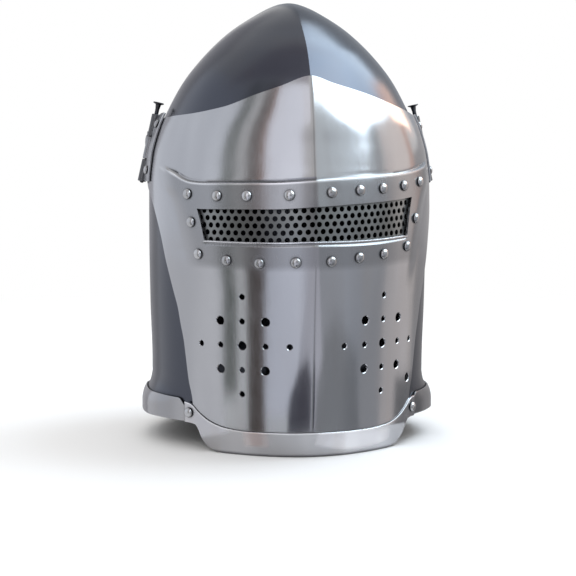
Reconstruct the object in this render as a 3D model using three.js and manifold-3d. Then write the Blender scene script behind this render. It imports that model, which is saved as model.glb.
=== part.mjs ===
// A closed helmet of the sugar-loaf kind with a lifting visor.
// Millimetres, +Z up, the face looks along -Y, +X is the wearer's left.
// The origin lies under the middle of the helmet, on the surface that it stands on.
// A turn runs round the helmet from the face: a quarter turn is the wearer's left side.

import * as THREE from 'three';
import * as BufferGeometryUtils from 'three/addons/utils/BufferGeometryUtils.js';
import Module from 'manifold-3d';

const wasm = await Module();
wasm.setup();

// Overall form
const helmHeight = 356;
const skullHalfWidth = 114.4;
const faceReach = 130.8;
const napeReach = 130;
const flankShare = 0.9;
const faceKeelShare = 0.15;
const napeKeelShare = 0.1;

// Plates and fits
const skullWall = 1.8;
const visorWall = 1.6;
const bandWall = 1.5;
const chinWall = 1.6;
const grilleWall = 1;
const fitGap = 0.3;
const cutOverrun = 8;

// Skull: [share of the height, share of the half width or of the reach]
const skullSideShares = [
  [0, 0.984], [0.174, 0.984], [0.312, 0.995], [0.452, 1], [0.576, 0.998], [0.6447, 0.976], [0.7065, 0.923],
  [0.758, 0.85], [0.8146, 0.752], [0.869, 0.629], [0.9256, 0.462], [0.966, 0.2815], [0.9935, 0.108], [1, 0],
];
const skullFaceShares = [
  [0, 0.897], [0.056, 0.9006], [0.115, 0.91], [0.219, 0.933], [0.34, 0.963], [0.424, 0.986], [0.508, 1],
  [0.5787, 0.981], [0.626, 0.958], [0.666, 0.939], [0.711, 0.92], [0.761, 0.885], [0.812, 0.836],
  [0.865, 0.749], [0.913, 0.615], [0.966, 0.405], [0.9915, 0.2], [1, 0],
];
const skullNapeShares = [
  [0, 0.955], [0.12, 0.955], [0.3, 0.985], [0.5, 1], [0.64, 0.985], [0.73, 0.93], [0.81, 0.81], [0.87, 0.69],
  [0.92, 0.55], [0.966, 0.35], [0.992, 0.16], [1, 0],
];
const skullRowShares = [0.15, 0.3, 0.43, 0.55, 0.65, 0.74, 0.82, 0.885, 0.935, 0.972, 0.992, 1];
const skullTurnShares = [
  0, 0.12, 0.24, 0.37, 0.5, 0.62, 0.74, 0.86, 0.98, 1.1, 1.22, 1.34, 1.46, 1.58, 1.7, 1.8, 1.9, 2,
];

// Rim of the skull and the flare above it, by turn and by height over the rim
const rimHeight = 21.5;
const rimShares = [[0, 1], [1.1, 1], [1.3, 0.86], [1.5, 0.4], [1.62, 0.1], [1.7, 0], [2, 0]];
const rimLap = 1;
const flareDepth = 6.8;
const flareHeight = 30;
const flareRiseShares = [[0, 1], [0.24, 1], [0.42, 0.88], [0.6, 0.55], [0.78, 0.2], [1, 0]];
const flareTurnShares = [[0, 0], [0.6, 0.02], [0.75, 0.5], [0.9, 1], [2, 1]];
const flareRowShares = [0.2, 0.42, 0.6, 1];

// Face opening behind the visor: [share of its height, share of its half width]
const openingTopShare = 0.68;
const openingSideShare = 0.9;
const openingDepthShare = 0.2;
const openingShares = [
  [-0.1, 0.7], [0.16, 0.74], [0.25, 0.765], [0.41, 0.835], [0.6, 0.925], [0.75, 0.975], [0.83, 0.97],
  [0.89, 0.9], [0.935, 0.76], [0.97, 0.52], [0.99, 0.26], [1, 0],
];

// Visor edges: [turn share, share of the height], and for the rear edge the other way round
const visorStandoff = 3.2;
const visorTopShares = [
  [-1, 0.729], [-0.76, 0.733], [-0.62, 0.7355], [-0.43, 0.747], [-0.27, 0.772], [-0.16, 0.788], [0, 0.8105],
  [0.12, 0.796], [0.3, 0.778], [0.44, 0.763], [0.58, 0.75], [0.76, 0.739], [1, 0.731],
];
const visorRearShares = [
  [0.05, 0.53], [0.111, 0.54], [0.155, 0.563], [0.207, 0.58], [0.242, 0.59], [0.277, 0.607],
  [0.312, 0.623], [0.346, 0.65], [0.38, 0.678], [0.415, 0.708], [0.468, 0.75], [0.513, 0.801],
  [0.551, 0.86], [0.58, 0.93], [0.605, 0.963], [0.74, 0.963],
];
const visorFootGap = 0.6;
const edgePasses = 6;
const visorColumnShares = [0, 0.08, 0.16, 0.24, 0.33, 0.42, 0.51, 0.6, 0.69, 0.77, 0.85, 0.93, 1];
const visorLowerRowShares = [0, 0.17, 0.34, 0.5, 0.64, 0.76, 0.88, 1];
const visorUpperRowShares = [0, 0.33, 0.67, 1];

// Crease over the sight: below it the plate stands proud, towards the flanks that fades
const creaseShares = [
  [-0.78, 0.628], [-0.7, 0.617], [-0.632, 0.607], [-0.58, 0.595], [-0.53, 0.5885], [-0.46, 0.586],
  [-0.18, 0.5865], [0, 0.5915], [0.15, 0.5965], [0.39, 0.605], [0.525, 0.613], [0.6, 0.619],
  [0.68, 0.6275], [0.78, 0.64],
];
const creaseDepth = 2.8;
const creaseHalfHeight = 1.4;
const creaseFadeShares = [[0, 1], [0.64, 1], [0.8, 0], [1, 0]];

// Sight opening
const sightDrop = 20;
const sightTopTurnShare = 0.494;
const sightFootTurnShare = 0.458;
const sightFootShares = [
  [-0.46, 0.4625], [-0.3, 0.4605], [-0.18, 0.46], [0, 0.462], [0.1, 0.462], [0.23, 0.4635], [0.46, 0.4705],
];
const sightHalfSteps = 6;

// Sight rivets: turn shares, or [turn share, share of the height]
const rivetDrop = 10;
const topRivetShares = [-0.542, -0.396, -0.269, -0.103, 0.064, 0.19, 0.306, 0.434, 0.564];
const otherRivetShares = [
  [-0.524, 0.5015], [0.521, 0.5075], [-0.487, 0.4335], [-0.354, 0.422], [-0.219, 0.417], [-0.078, 0.4195],
  [0.063, 0.4215], [0.187, 0.428], [0.311, 0.4335], [0.454, 0.4475],
];
const tailGap = 1.3;
const sightRivet = { head: 4, rise: 2.9, shank: 1.5, tail: 3, tailRise: 1 };
const rivetHoleGap = 0.45;
const rivetSides = 8;
const domeMiddleShare = 0.7;
const domeMiddleRiseShare = 0.68;

// Perforated plate behind the sight: square holes set on their corners
const grilleGap = 1.4;
const grilleTopReach = 29;
const grilleFootReach = 33;
const grilleTurnShare = 0.595;
const grillePitch = 6.4;
const grilleRowPitch = 5.5;
const grilleHoleRadius = 2.3;
const grilleRowShares = [-2.5, -1.5, -0.5, 0.5, 1.5, 2.5];
const grilleHoleSides = 4;
const grilleEndMarginShare = 0.03;
const sightLengthSteps = 40;

// Breaths: a cross of holes on each side, [steps across, steps up, large or not]
const breathTurnShares = [-0.291, 0.323];
const breathHeightShare = 0.2395;
const breathStepAcrossShare = 0.0965;
const breathStepUp = 18.7;
const breathLargeRadius = 3.3;
const breathSmallRadius = 2.1;
const breathPattern = [
  [0, 0, true], [1, 1, true], [-1, 1, true], [1, -1, true], [-1, -1, true], [1, 0, false], [-1, 0, false],
  [0, 1, false], [0, -1, false], [2, 0, false], [-2, 0, false], [0, 2, false], [0, -2, false],
];
const latchHoleTurnShare = 0.512;
const latchHoleHeightShare = 0.1525;
const holeSides = 8;

// Chin band with its tabs
const chinProud = 1;
const chinTaper = 4.6;
const chinTurnShares = [0, 0.09, 0.18, 0.27, 0.34, 0.39, 0.42, 0.45, 0.475, 0.495, 0.515, 0.535, 0.56, 0.585];
const chinTopShares = [
  [0, 0.0542], [0.18, 0.0534], [0.27, 0.0537], [0.367, 0.0584], [0.44, 0.069], [0.5, 0.0857],
  [0.55, 0.1025], [0.6, 0.1065],
];
const chinFootShares = [
  [0, 0], [0.39, 0], [0.42, 0.05], [0.45, 0.19], [0.475, 0.4], [0.495, 0.63], [0.515, 0.85],
  [0.535, 0.97], [0.56, 1], [0.6, 1],
];
const chinRowShares = [0, 0.3, 0.65, 1];
const tabRivetTurnShare = 0.556;
const tabRivetHeightShare = 0.53;
const bandRivet = { head: 3.8, rise: 2.6, shank: 1.5, tail: 2.5, tailRise: 1 };

// Rim band round the back
const bandTurnShare = 0.52;
const bandTopShares = [[0.52, 0.64], [0.62, 1], [2, 1]];
const bandRowShares = [0, 0.2, 0.42, 0.6];
const napeRivetShare = 0.3;

// Temple hinges: an axis that leans in, three knuckles and a headed pin
const hingeFootShare = 0.5885;
const hingeLength = 55.7;
const hingeFootStandoff = 6.8;
const hingeTopStandoff = 8.7;
const knuckleRadius = 3.4;
const knuckleGap = 0.4;
const knuckleSetback = 0.9;
const knuckleSides = 10;
const pinRadius = 1.65;
const pinBoreGap = 0.35;
const pinFootProud = 1.2;
const pinFootChamfer = 0.8;
const pinHead = { radius: 4.4, rim: 0.8, flare: 0.9, neck: 2.3, neckLength: 3.6, proud: 9.8 };
const leafWall = 1.8;
const leafFrontShare = 0.88;
const leafRivetShare = 0.92;
const leafColumns = 4;
const leafRows = 6;
const leafRivet = { head: 3.6, rise: 2.3, shank: 1.5, tail: 0, tailRise: 0 };
const leafShankShare = 0.8;
const webHalfWidth = 1;
const webHeightShare = 0.9;
const webTurnShare = 0.8;
const webInsetShare = 0.1;

// Pivot behind each hinge
const pivotBack = 20;
const pivotHeightShare = 0.6784;
const armWall = 2;
const armGap = 0.7;
const armEndRadius = 9.5;
const armHalfHeight = 7.5;
const armArcSteps = 8;
const pivotHalvings = 40;
const stud = { head: 6.5, rise: 3, shank: 3, collar: 5, tail: 5, tailRise: 1.4 };
const washerRadius = 7;
const washerWall = 1.2;

// Leather liner
const linerWall = 3;
const linerGap = 1;
const linerBrowShare = 0.6965;
const linerRimShare = 0.601;
const linerCrownShare = 0.91;
const linerCrownRadius = 20;
const linerRimTurnShares = [[0, 1], [0.5, 1], [0.62, 0.75], [0.72, 0.1], [0.8, 0], [2, 0]];
const linerRowShares = [0, 0.2, 0.42, 0.63, 0.82, 1];
const linerDrawShares = [[0, 0], [0.22, 0], [0.45, 0.06], [0.7, 0.25], [0.86, 0.55], [1, 1]];
const linerPivotGap = 2;
const flushRivet = { head: 4, rise: 0.6, shank: 1.5, tail: 3, tailRise: 1 };
const linerRivet = { head: 4, rise: 2.4, shank: 1.5, tail: 3, tailRise: 1 };
const browRivetTurnShare = 0.24;
const browRivetRise = 8;
const backRivetTurnShares = [1.3, 1.65, 2, -1.65, -1.3];
const backRivetRise = 12;

// Chin straps, buckle and prong
const strapTurnShare = 0.76;
const strapWidth = 18;
const strapWall = 2.2;
const strapLength = 140;
const strapLap = 14;
const strapRivetDrop = 8;
const strapGap = 2.4;
const strapHoleCount = 5;
const strapHoleSpacing = 13;
const strapHoleRadius = 1.8;
const strapTipHeight = 12;
const strapFirstHoleShare = 0.5;
const strapTailGap = 0.5;
const strapFold = 16;
const strapArcSteps = 8;
const buckleDrop = 96;
const buckleWire = 3;
const buckleWidthGap = 1;
const buckleOpening = 16;
const prongWidth = 2.4;
const prongNotch = 5;
const prongOverhang = 1.5;

// Finishes
const blackened = { color: 0x35373d, roughness: 0.42, metalness: 0.85 };
const polished = { color: 0xb4b6b9, roughness: 0.28, metalness: 0.95 };
const bright = { color: 0xc6c7c9, roughness: 0.2, metalness: 1 };
const darkSteel = { color: 0x4b4d52, roughness: 0.45, metalness: 0.9 };
const sheetSteel = { color: 0x86888b, roughness: 0.4, metalness: 0.95 };
const leather = { color: 0x5b3a22, roughness: 0.8, metalness: 0 };
const brass = { color: 0xb08d4a, roughness: 0.35, metalness: 0.95 };

// Derived values
const quarterTurn = Math.PI / 2;
const fullTurn = Math.PI * 2;
const probeShare = 0.0005;
const probeTurn = quarterTurn * probeShare;
const probeHeight = helmHeight * probeShare;
const weldReach = fitGap * probeShare;
const up = new THREE.Vector3(0, 0, 1);
const alongY = new THREE.Vector3(0, 1, 0);
const alongX = new THREE.Vector3(1, 0, 0);
const sideways = new THREE.Matrix4().makeBasis(alongY, up, alongX);
const sides = [['right', -1], ['left', 1]];

const between = (low, high, share) => low + (high - low) * share;
const mirrored = (shares) => [...shares.slice(1).map((share) => -share).reverse(), ...shares];

// A curve through rows of [place, value] that never overshoots them
function curveThrough(rows) {
  const slopes = rows.slice(1).map(([place, value], i) => (value - rows[i][1]) / (place - rows[i][0]));
  const tangents = rows.map((row, i) => {
    if (i === 0) return slopes[0];
    if (i === slopes.length) return slopes[i - 1];
    const product = slopes[i - 1] * slopes[i];
    return product > 0 ? (2 * product) / (slopes[i - 1] + slopes[i]) : 0;
  });
  return (place) => {
    if (place <= rows[0][0]) return rows[0][1];
    const next = rows.findIndex((row) => row[0] > place);
    if (next < 0) return rows[rows.length - 1][1];
    const [from, to] = [rows[next - 1], rows[next]];
    const width = to[0] - from[0];
    const t = (place - from[0]) / width;
    const ease = t * t * (3 - 2 * t);
    const bendIn = t * (1 - t) * (1 - t) * width * tangents[next - 1];
    const bendOut = t * t * (1 - t) * width * tangents[next];
    return between(from[1], to[1], ease) + bendIn - bendOut;
  };
}

// Shape of the skull, the visor and the bands
const sideAt = curveThrough(skullSideShares);
const faceAt = curveThrough(skullFaceShares);
const napeAt = curveThrough(skullNapeShares);
const rimAt = curveThrough(rimShares);
const flareRiseAt = curveThrough(flareRiseShares);
const flareTurnAt = curveThrough(flareTurnShares);
const visorTopAt = curveThrough(visorTopShares);
const visorRearAt = curveThrough(visorRearShares);
const creaseAt = curveThrough(creaseShares);
const creaseFadeAt = curveThrough(creaseFadeShares);
const sightFootAt = curveThrough(sightFootShares);
const chinTopAt = curveThrough(chinTopShares);
const chinFootAt = curveThrough(chinFootShares);
const bandTopAt = curveThrough(bandTopShares);
const linerRimAt = curveThrough(linerRimTurnShares);
const linerDrawAt = curveThrough(linerDrawShares);
const openingAt = curveThrough(openingShares);

const turnShare = (turn) => Math.abs(Math.atan2(Math.sin(turn), Math.cos(turn))) / quarterTurn;
const rimLine = (turn) => rimHeight * rimAt(turnShare(turn));
const visorRear = (height) => quarterTurn * visorRearAt(height / helmHeight);
const creaseLine = (turn) => helmHeight * creaseAt(turn / quarterTurn);
const visorTop = (turn) => helmHeight * visorTopAt(turn / quarterTurn);
const chinTop = (turn) => helmHeight * chinTopAt(turnShare(turn));
const chinFoot = (turn) => rimHeight * chinFootAt(turnShare(turn));
const visorFoot = (turn) => chinTop(turn) + visorFootGap;
const sightTop = (turn) => creaseLine(turn) - sightDrop;
const sightFoot = (turn) => helmHeight * sightFootAt(turn / quarterTurn);
const skullSide = (height) => skullHalfWidth * sideAt(height / helmHeight);

function skullSection(turn, height, growth) {
  const share = height / helmHeight;
  const facing = Math.cos(turn) >= 0;
  const reach = facing ? faceReach * faceAt(share) : napeReach * napeAt(share);
  const keel = facing ? faceKeelShare : napeKeelShare;
  const drawIn = 1 - keel * Math.abs(Math.sin(turn));
  const depth = (reach + growth) * Math.abs(Math.cos(turn)) ** flankShare * drawIn;
  return new THREE.Vector3(
    (skullHalfWidth * sideAt(share) + growth) * Math.sin(turn),
    facing ? -depth : depth,
    height,
  );
}

function skullSurface(turn, height) {
  const rise = (height - rimLine(turn)) / flareHeight;
  const flare = flareDepth * flareRiseAt(rise) * flareTurnAt(turnShare(turn));
  return skullSection(turn, height, flare);
}

function proudOfCrease(turn, height) {
  const drop = (creaseLine(turn) + creaseHalfHeight - height) / (creaseHalfHeight * 2);
  const fade = creaseFadeAt(Math.abs(turn) / visorRear(height));
  return creaseDepth * fade * THREE.MathUtils.clamp(drop, 0, 1);
}

function visorSurface(turn, height) {
  return skullSection(turn, height, visorStandoff + proudOfCrease(turn, height));
}

function chinSurface(turn, height) {
  const proud = proudOfCrease(turn, chinTop(turn));
  const drawIn = chinTaper * Math.max(0, 1 - height / chinTop(0));
  return skullSection(turn, height, visorStandoff + proud + chinProud - drawIn);
}

function linerSurface(turn, height) {
  const rim = linerRim(turn);
  const crown = helmHeight * linerCrownShare;
  const share = THREE.MathUtils.clamp((height - rim) / (crown - rim), 0, 1);
  const wall = lifted(skullSurface, turn, height, -skullWall - linerGap).point;
  const centre = new THREE.Vector3(
    linerCrownRadius * Math.sin(turn),
    -linerCrownRadius * Math.cos(turn),
    height,
  );
  return wall.lerp(centre, linerDrawAt(share));
}

function linerRim(turn) {
  return helmHeight * between(linerRimShare, linerBrowShare, linerRimAt(turnShare(turn)));
}

// A point at some distance over a surface, with the surface's outward normal there
function lifted(surface, turn, height, distance) {
  const across = surface(turn + probeTurn, height).sub(surface(turn - probeTurn, height));
  const top = Math.min(height + probeHeight, helmHeight);
  const rising = surface(turn, top).sub(surface(turn, height - probeHeight));
  const normal = across.cross(rising).normalize();
  if (normal.lengthSq() === 0) normal.copy(up);
  return { point: surface(turn, height).addScaledVector(normal, distance), normal };
}

// Solids
function closed(geometry) {
  const bare = geometry.index ? geometry.toNonIndexed() : geometry.clone();
  bare.deleteAttribute('normal');
  bare.deleteAttribute('uv');
  const welded = BufferGeometryUtils.mergeVertices(bare, weldReach);
  const index = welded.index.array;
  const faces = [];
  for (let i = 0; i < index.length; i += 3) {
    const [a, b, c] = index.slice(i, i + 3);
    if (a !== b && b !== c && c !== a) faces.push([a, b, c]);
  }
  const corner = (i) => new THREE.Vector3().fromBufferAttribute(welded.attributes.position, i);
  const volume = faces.reduce((sum, [a, b, c]) => sum + corner(a).dot(corner(b).cross(corner(c))), 0);
  welded.setIndex(faces.flatMap(([a, b, c]) => (volume < 0 ? [a, c, b] : [a, b, c])));
  return welded;
}

function toManifold(geometry) {
  const solid = closed(geometry);
  const mesh = new wasm.Mesh({
    numProp: 3,
    vertProperties: new Float32Array(solid.attributes.position.array),
    triVerts: new Uint32Array(solid.index.array),
  });
  return new wasm.Manifold(mesh);
}

function fromManifold(solid) {
  const mesh = solid.getMesh();
  const geometry = new THREE.BufferGeometry();
  geometry.setAttribute('position', new THREE.BufferAttribute(mesh.vertProperties, 3));
  geometry.setIndex(new THREE.BufferAttribute(mesh.triVerts, 1));
  return geometry;
}

const cut = (body, tools) => fromManifold(
  tools.reduce((rest, tool) => rest.subtract(toManifold(tool)), toManifold(body)),
);
const join = (first, ...others) => fromManifold(
  others.reduce((whole, other) => whole.add(toManifold(other)), toManifold(first)),
);

// A plate from columns of outer and inner points; a ring of columns closes on itself
function plate(columns, ring) {
  const loops = columns.map(({ outer, inner }) => [...outer, ...[...inner].reverse()]);
  const count = loops[0].length;
  const faces = [];
  const quad = (a, b, c, d) => faces.push(a, b, c, a, c, d);
  const steps = loops[0].length / 2;
  const spans = ring ? loops.length : loops.length - 1;
  for (let i = 0; i < spans; i += 1) {
    const next = (i + 1) % loops.length;
    for (let j = 0; j < count; j += 1) {
      const after = (j + 1) % count;
      const corners = [i * count + j, next * count + j, next * count + after, i * count + after];
      if (j < steps) quad(...corners);
      else quad(...corners.slice(1), corners[0]);
    }
  }
  if (!ring) {
    const last = (loops.length - 1) * count;
    for (let j = 0; j < steps - 1; j += 1) {
      const facing = count - 1 - j;
      quad(j, j + 1, facing - 1, facing);
      quad(last + j, last + facing, last + facing - 1, last + j + 1);
    }
  }
  const geometry = new THREE.BufferGeometry();
  const positions = loops.flat().flatMap((point) => point.toArray());
  geometry.setAttribute('position', new THREE.Float32BufferAttribute(positions, 3));
  geometry.setIndex(faces);
  return closed(geometry);
}

// One column of a plate: the same places on two lifts over a surface
function column(surface, places, outside, inside) {
  return {
    outer: places.map(([turn, height]) => lifted(surface, turn, height, outside).point),
    inner: places.map(([turn, height]) => lifted(surface, turn, height, inside).point),
  };
}

// A round body from a profile of [radius, place along the axis]
function turned(profile, segments) {
  const points = profile.map(([radius, place]) => new THREE.Vector2(radius, place));
  return closed(new THREE.LatheGeometry(points, segments));
}

function drill(seat, radius, depth, sideCount = holeSides) {
  const tool = new THREE.CylinderGeometry(radius, radius, depth * 2, sideCount);
  tool.applyQuaternion(new THREE.Quaternion().setFromUnitVectors(alongY, seat.normal));
  return tool.translate(...seat.point.toArray());
}

function prism(points, depth, holes = []) {
  const shape = new THREE.Shape(points);
  shape.holes = holes.map((hole) => new THREE.Path(hole));
  return new THREE.ExtrudeGeometry(shape, { depth, bevelEnabled: false });
}

function roundPoints(x, y, radius, steps, start = 0, sweep = fullTurn) {
  const count = sweep === fullTurn ? steps : steps + 1;
  return Array.from({ length: count }, (unused, i) => {
    const angle = start + (sweep * i) / steps;
    return new THREE.Vector2(x + radius * Math.cos(angle), y + radius * Math.sin(angle));
  });
}

function named(name, geometry, finish) {
  const mesh = new THREE.Mesh(geometry, new THREE.MeshStandardMaterial(finish));
  mesh.name = name;
  return mesh;
}

// A rivet: its head sits on the seat, its shank spans the grip and its tail closes it
function rivet(name, finish, size, seat, grip) {
  const foot = -grip - size.tailRise;
  const middle = [size.head * domeMiddleShare, size.rise * domeMiddleRiseShare];
  const profile = [[0, size.rise], middle, [size.head, 0], [size.shank, 0]];
  if (size.tail > 0) profile.push([size.shank, -grip], [size.tail, -grip], [size.tail, foot], [0, foot]);
  else profile.push([size.shank, -grip], [0, -grip]);
  const mesh = named(name, turned(profile, rivetSides), finish);
  mesh.position.copy(seat.point);
  mesh.quaternion.setFromUnitVectors(alongY, seat.normal);
  return mesh;
}

// Places of the rivets
const skullSeat = (share, height, lift = 0) => lifted(skullSurface, share * quarterTurn, height, lift);
const visorSeat = (share, height, lift = 0) => lifted(visorSurface, share * quarterTurn, height, lift);
const browRivetHeight = helmHeight * linerBrowShare + browRivetRise;
const backRivetHeight = helmHeight * linerRimShare + backRivetRise;
const strapTop = linerRim(strapTurnShare * quarterTurn) + strapLap;
const napeRivetHeight = flareHeight * napeRivetShare;
const tabRivetTurn = tabRivetTurnShare * quarterTurn;
const tabRivetHeight = between(chinFoot(tabRivetTurn), chinTop(tabRivetTurn), tabRivetHeightShare);
const sightRivetPlaces = [
  ...topRivetShares.map((share) => [share, creaseLine(share * quarterTurn) - rivetDrop]),
  ...otherRivetShares.map(([share, heightShare]) => [share, helmHeight * heightShare]),
];
const backRivetPlaces = backRivetTurnShares.map((share) => [share, backRivetHeight]);
const browRivetPlaces = [-browRivetTurnShare, browRivetTurnShare].map((share) => [share, browRivetHeight]);
const strapRivetPlaces = [-strapTurnShare, strapTurnShare].map((share) => [share, strapTop - strapRivetDrop]);
const tabRivetPlaces = [-tabRivetTurnShare, tabRivetTurnShare].map((share) => [share, tabRivetHeight]);
const rivetHole = (seat, size) => drill(seat, size.shank + rivetHoleGap, cutOverrun);

// Hinge axis and pivot, worked out for the wearer's left and mirrored by the side's sign
const hingeFoot = helmHeight * hingeFootShare;
const hingeFootSide = skullSide(hingeFoot) + hingeFootStandoff;
const hingeTopSide = skullSide(hingeFoot + hingeLength) + hingeTopStandoff;
const hingeLean = Math.atan((hingeFootSide - hingeTopSide) / hingeLength);
const visorRearForward = -visorSurface(visorRear(hingeFoot + hingeLength / 2), hingeFoot + hingeLength / 2).y;
const hingeForward = visorRearForward - knuckleSetback - knuckleRadius;
const knuckleLength = (hingeLength - knuckleGap * 2) / 3;
const hingeTop = hingeFoot + hingeLength * Math.cos(hingeLean);
const hingeMiddle = (hingeFoot + hingeTop) / 2;
const pivotHeight = helmHeight * pivotHeightShare;
const armLowest = Math.min(hingeMiddle - armHalfHeight, pivotHeight - armEndRadius);
const armInside = skullSide(armLowest) + armGap;

const hingeAxis = (side) => new THREE.Vector3(-side * Math.sin(hingeLean), 0, Math.cos(hingeLean));
const hingePoint = (side, along) => new THREE.Vector3(side * hingeFootSide, -hingeForward, hingeFoot)
  .addScaledVector(hingeAxis(side), along);
const knuckleCentre = (index) => index * (knuckleLength + knuckleGap) + knuckleLength / 2;
const pivotSeat = (side) => ({
  point: new THREE.Vector3(side * armInside, pivotBack, pivotHeight),
  normal: new THREE.Vector3(side, 0, 0),
});

// How far out the skull's surface lies beside the pivot, at a place behind the middle
function skullBeside(behind, height, lift) {
  let [front, back] = [quarterTurn / 2, quarterTurn * 3 / 2];
  for (let halving = 0; halving < pivotHalvings; halving += 1) {
    const turn = (front + back) / 2;
    if (skullSurface(turn, height).y < behind) front = turn;
    else back = turn;
  }
  return lifted(skullSurface, front, height, lift).point.x;
}

function barrel(side, radius, from, to) {
  const tool = new THREE.CylinderGeometry(radius, radius, to - from, knuckleSides);
  tool.applyQuaternion(new THREE.Quaternion().setFromUnitVectors(alongY, hingeAxis(side)));
  return tool.translate(...hingePoint(side, (from + to) / 2).toArray());
}

const knuckle = (side, index) => barrel(
  side,
  knuckleRadius,
  knuckleCentre(index) - knuckleLength / 2,
  knuckleCentre(index) + knuckleLength / 2,
);
const pinBore = (side) => barrel(side, pinRadius + pinBoreGap, -cutOverrun, hingeLength + cutOverrun);

// Skull
const ringShares = [...skullTurnShares.slice(1, -1).map((share) => -share).reverse(), ...skullTurnShares];

function skullShell() {
  const columns = ringShares.map((share) => {
    const turn = share * quarterTurn;
    const rim = rimLine(turn);
    const heights = [
      rim + rimLap,
      ...flareRowShares.map((row) => rim + flareHeight * row),
      ...skullRowShares.map((row) => between(rim + flareHeight, helmHeight, row)),
    ];
    return column(skullSurface, heights.map((height) => [turn, height]), 0, -skullWall);
  });
  const outline = openingShares.map(([up_, across]) => [across * skullHalfWidth * openingSideShare, up_]);
  const openingTop = helmHeight * openingTopShare;
  const left = outline.map(([x, share]) => new THREE.Vector2(x, openingTop * share));
  const right = outline.slice(0, -1).map(([x, share]) => new THREE.Vector2(-x, openingTop * share)).reverse();
  const opening = prism([...left, ...right], faceReach + cutOverrun);
  opening.rotateX(quarterTurn);
  opening.translate(0, -faceReach * openingDepthShare, 0);
  return named('skull_shell', cut(plate(columns, true), [
    opening,
    ...sides.map(([, side]) => drill(pivotSeat(side), stud.shank + rivetHoleGap, cutOverrun * 2)),
    ...backRivetPlaces.map((place) => rivetHole(skullSeat(...place), linerRivet)),
    ...[...browRivetPlaces, ...strapRivetPlaces].map((place) => rivetHole(skullSeat(...place), flushRivet)),
    ...tabRivetPlaces.map((place) => rivetHole(skullSeat(...place), bandRivet)),
    rivetHole(skullSeat(2, napeRivetHeight), bandRivet),
  ]), blackened);
}

function rearRimBand() {
  const inTurn = [bandTurnShare, ...skullTurnShares.filter((share) => share > bandTurnShare)];
  const shares = [...inTurn, ...inTurn.slice(0, -1).map((share) => 4 - share).reverse()];
  const columns = shares.map((share) => {
    const turn = share * quarterTurn;
    const reach = flareHeight * bandTopAt(turnShare(turn));
    const places = bandRowShares.map((row) => [turn, rimLine(turn) + reach * row]);
    return levelled(column(skullSurface, places, fitGap + bandWall, fitGap));
  });
  return named('rear_rim_band', cut(plate(columns, false), [
    ...tabRivetPlaces.map((place) => rivetHole(skullSeat(...place), bandRivet)),
    rivetHole(skullSeat(2, napeRivetHeight), bandRivet),
  ]), bright);
}

// The inner points of a band's column at the height of its outer ones
function levelled({ outer, inner }) {
  return { outer, inner: inner.map((point, i) => point.setZ(outer[i].z)) };
}

function frontChinBand() {
  const columns = mirrored(chinTurnShares).map((share) => {
    const turn = share * quarterTurn;
    const places = chinRowShares.map((row) => [turn, between(chinFoot(turn), chinTop(turn), row)]);
    return levelled(column(chinSurface, places, 0, -chinWall));
  });
  const holes = tabRivetPlaces.map((place) => rivetHole(skullSeat(...place), bandRivet));
  return named('front_chin_band', cut(plate(columns, false), holes), bright);
}

// Visor
function heightOn(share, edge) {
  let height = edge(share * quarterTurn);
  for (let pass = 0; pass < edgePasses; pass += 1) height = edge(share * visorRear(height));
  return height;
}

function visorColumn(share) {
  const foot = heightOn(share, visorFoot);
  const crease = heightOn(share, creaseLine);
  const top = heightOn(share, visorTop);
  const heights = [
    ...visorLowerRowShares.map((row) => between(foot, crease - creaseHalfHeight, row)),
    ...visorUpperRowShares.map((row) => between(crease + creaseHalfHeight, top, row)),
  ];
  return column(visorSurface, heights.map((height) => [share * visorRear(height), height]), 0, -visorWall);
}

function sightCutter() {
  const steps = Array.from({ length: sightHalfSteps * 2 + 1 }, (unused, i) => i / sightHalfSteps - 1);
  return plate(steps.map((share) => {
    const topTurn = share * sightTopTurnShare * quarterTurn;
    const footTurn = share * sightFootTurnShare * quarterTurn;
    const places = [[footTurn, sightFoot(footTurn)], [topTurn, sightTop(topTurn)]];
    return column(visorSurface, places, cutOverrun, -cutOverrun);
  }), false);
}

function breathTools() {
  const holes = breathTurnShares.flatMap((middle) => breathPattern.map(([across, rise, large]) => [
    middle + across * breathStepAcrossShare,
    helmHeight * breathHeightShare + rise * breathStepUp,
    large,
  ]));
  holes.push([latchHoleTurnShare, helmHeight * latchHoleHeightShare, true]);
  return holes.map(([share, height, large]) => drill(
    visorSeat(share, height),
    large ? breathLargeRadius : breathSmallRadius,
    cutOverrun,
  ));
}

const leafRivetPlaces = (side) => [0, 2].map((index) => [
  side * leafRivetShare,
  hingeFoot + knuckleCentre(index) * Math.cos(hingeLean),
]);

function visorPlate() {
  return named('visor_plate', cut(plate(mirrored(visorColumnShares).map(visorColumn), false), [
    sightCutter(),
    ...breathTools(),
    ...sightRivetPlaces.map((place) => rivetHole(visorSeat(...place), sightRivet)),
    ...sides.flatMap(([, side]) => leafRivetPlaces(side))
      .map((place) => rivetHole(visorSeat(...place), leafRivet)),
  ]), polished);
}

const sightMiddle = (turn) => (sightTop(turn) + sightFoot(turn)) / 2;
const grilleLift = -visorWall - grilleGap - grilleWall;

// The turn at each length along the sight, from the keel
const sightRows = Array.from({ length: sightLengthSteps + 1 }, (unused, i) => i / sightLengthSteps)
  .map((share) => share * grilleTurnShare * quarterTurn)
  .map((turn) => [visorSurface(turn, sightMiddle(0)), turn])
  .reduce((rows, [point, turn]) => {
    const last = rows[rows.length - 1];
    const length = last ? last.length + last.point.distanceTo(point) : 0;
    return [...rows, { length, point, turn }];
  }, [])
  .map(({ length, turn }) => [length, turn]);
const sightLength = sightRows[sightLengthSteps][0];
const turnOverSight = curveThrough(sightRows);
const turnAtLength = (length) => Math.sign(length) * turnOverSight(Math.abs(length));

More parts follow.
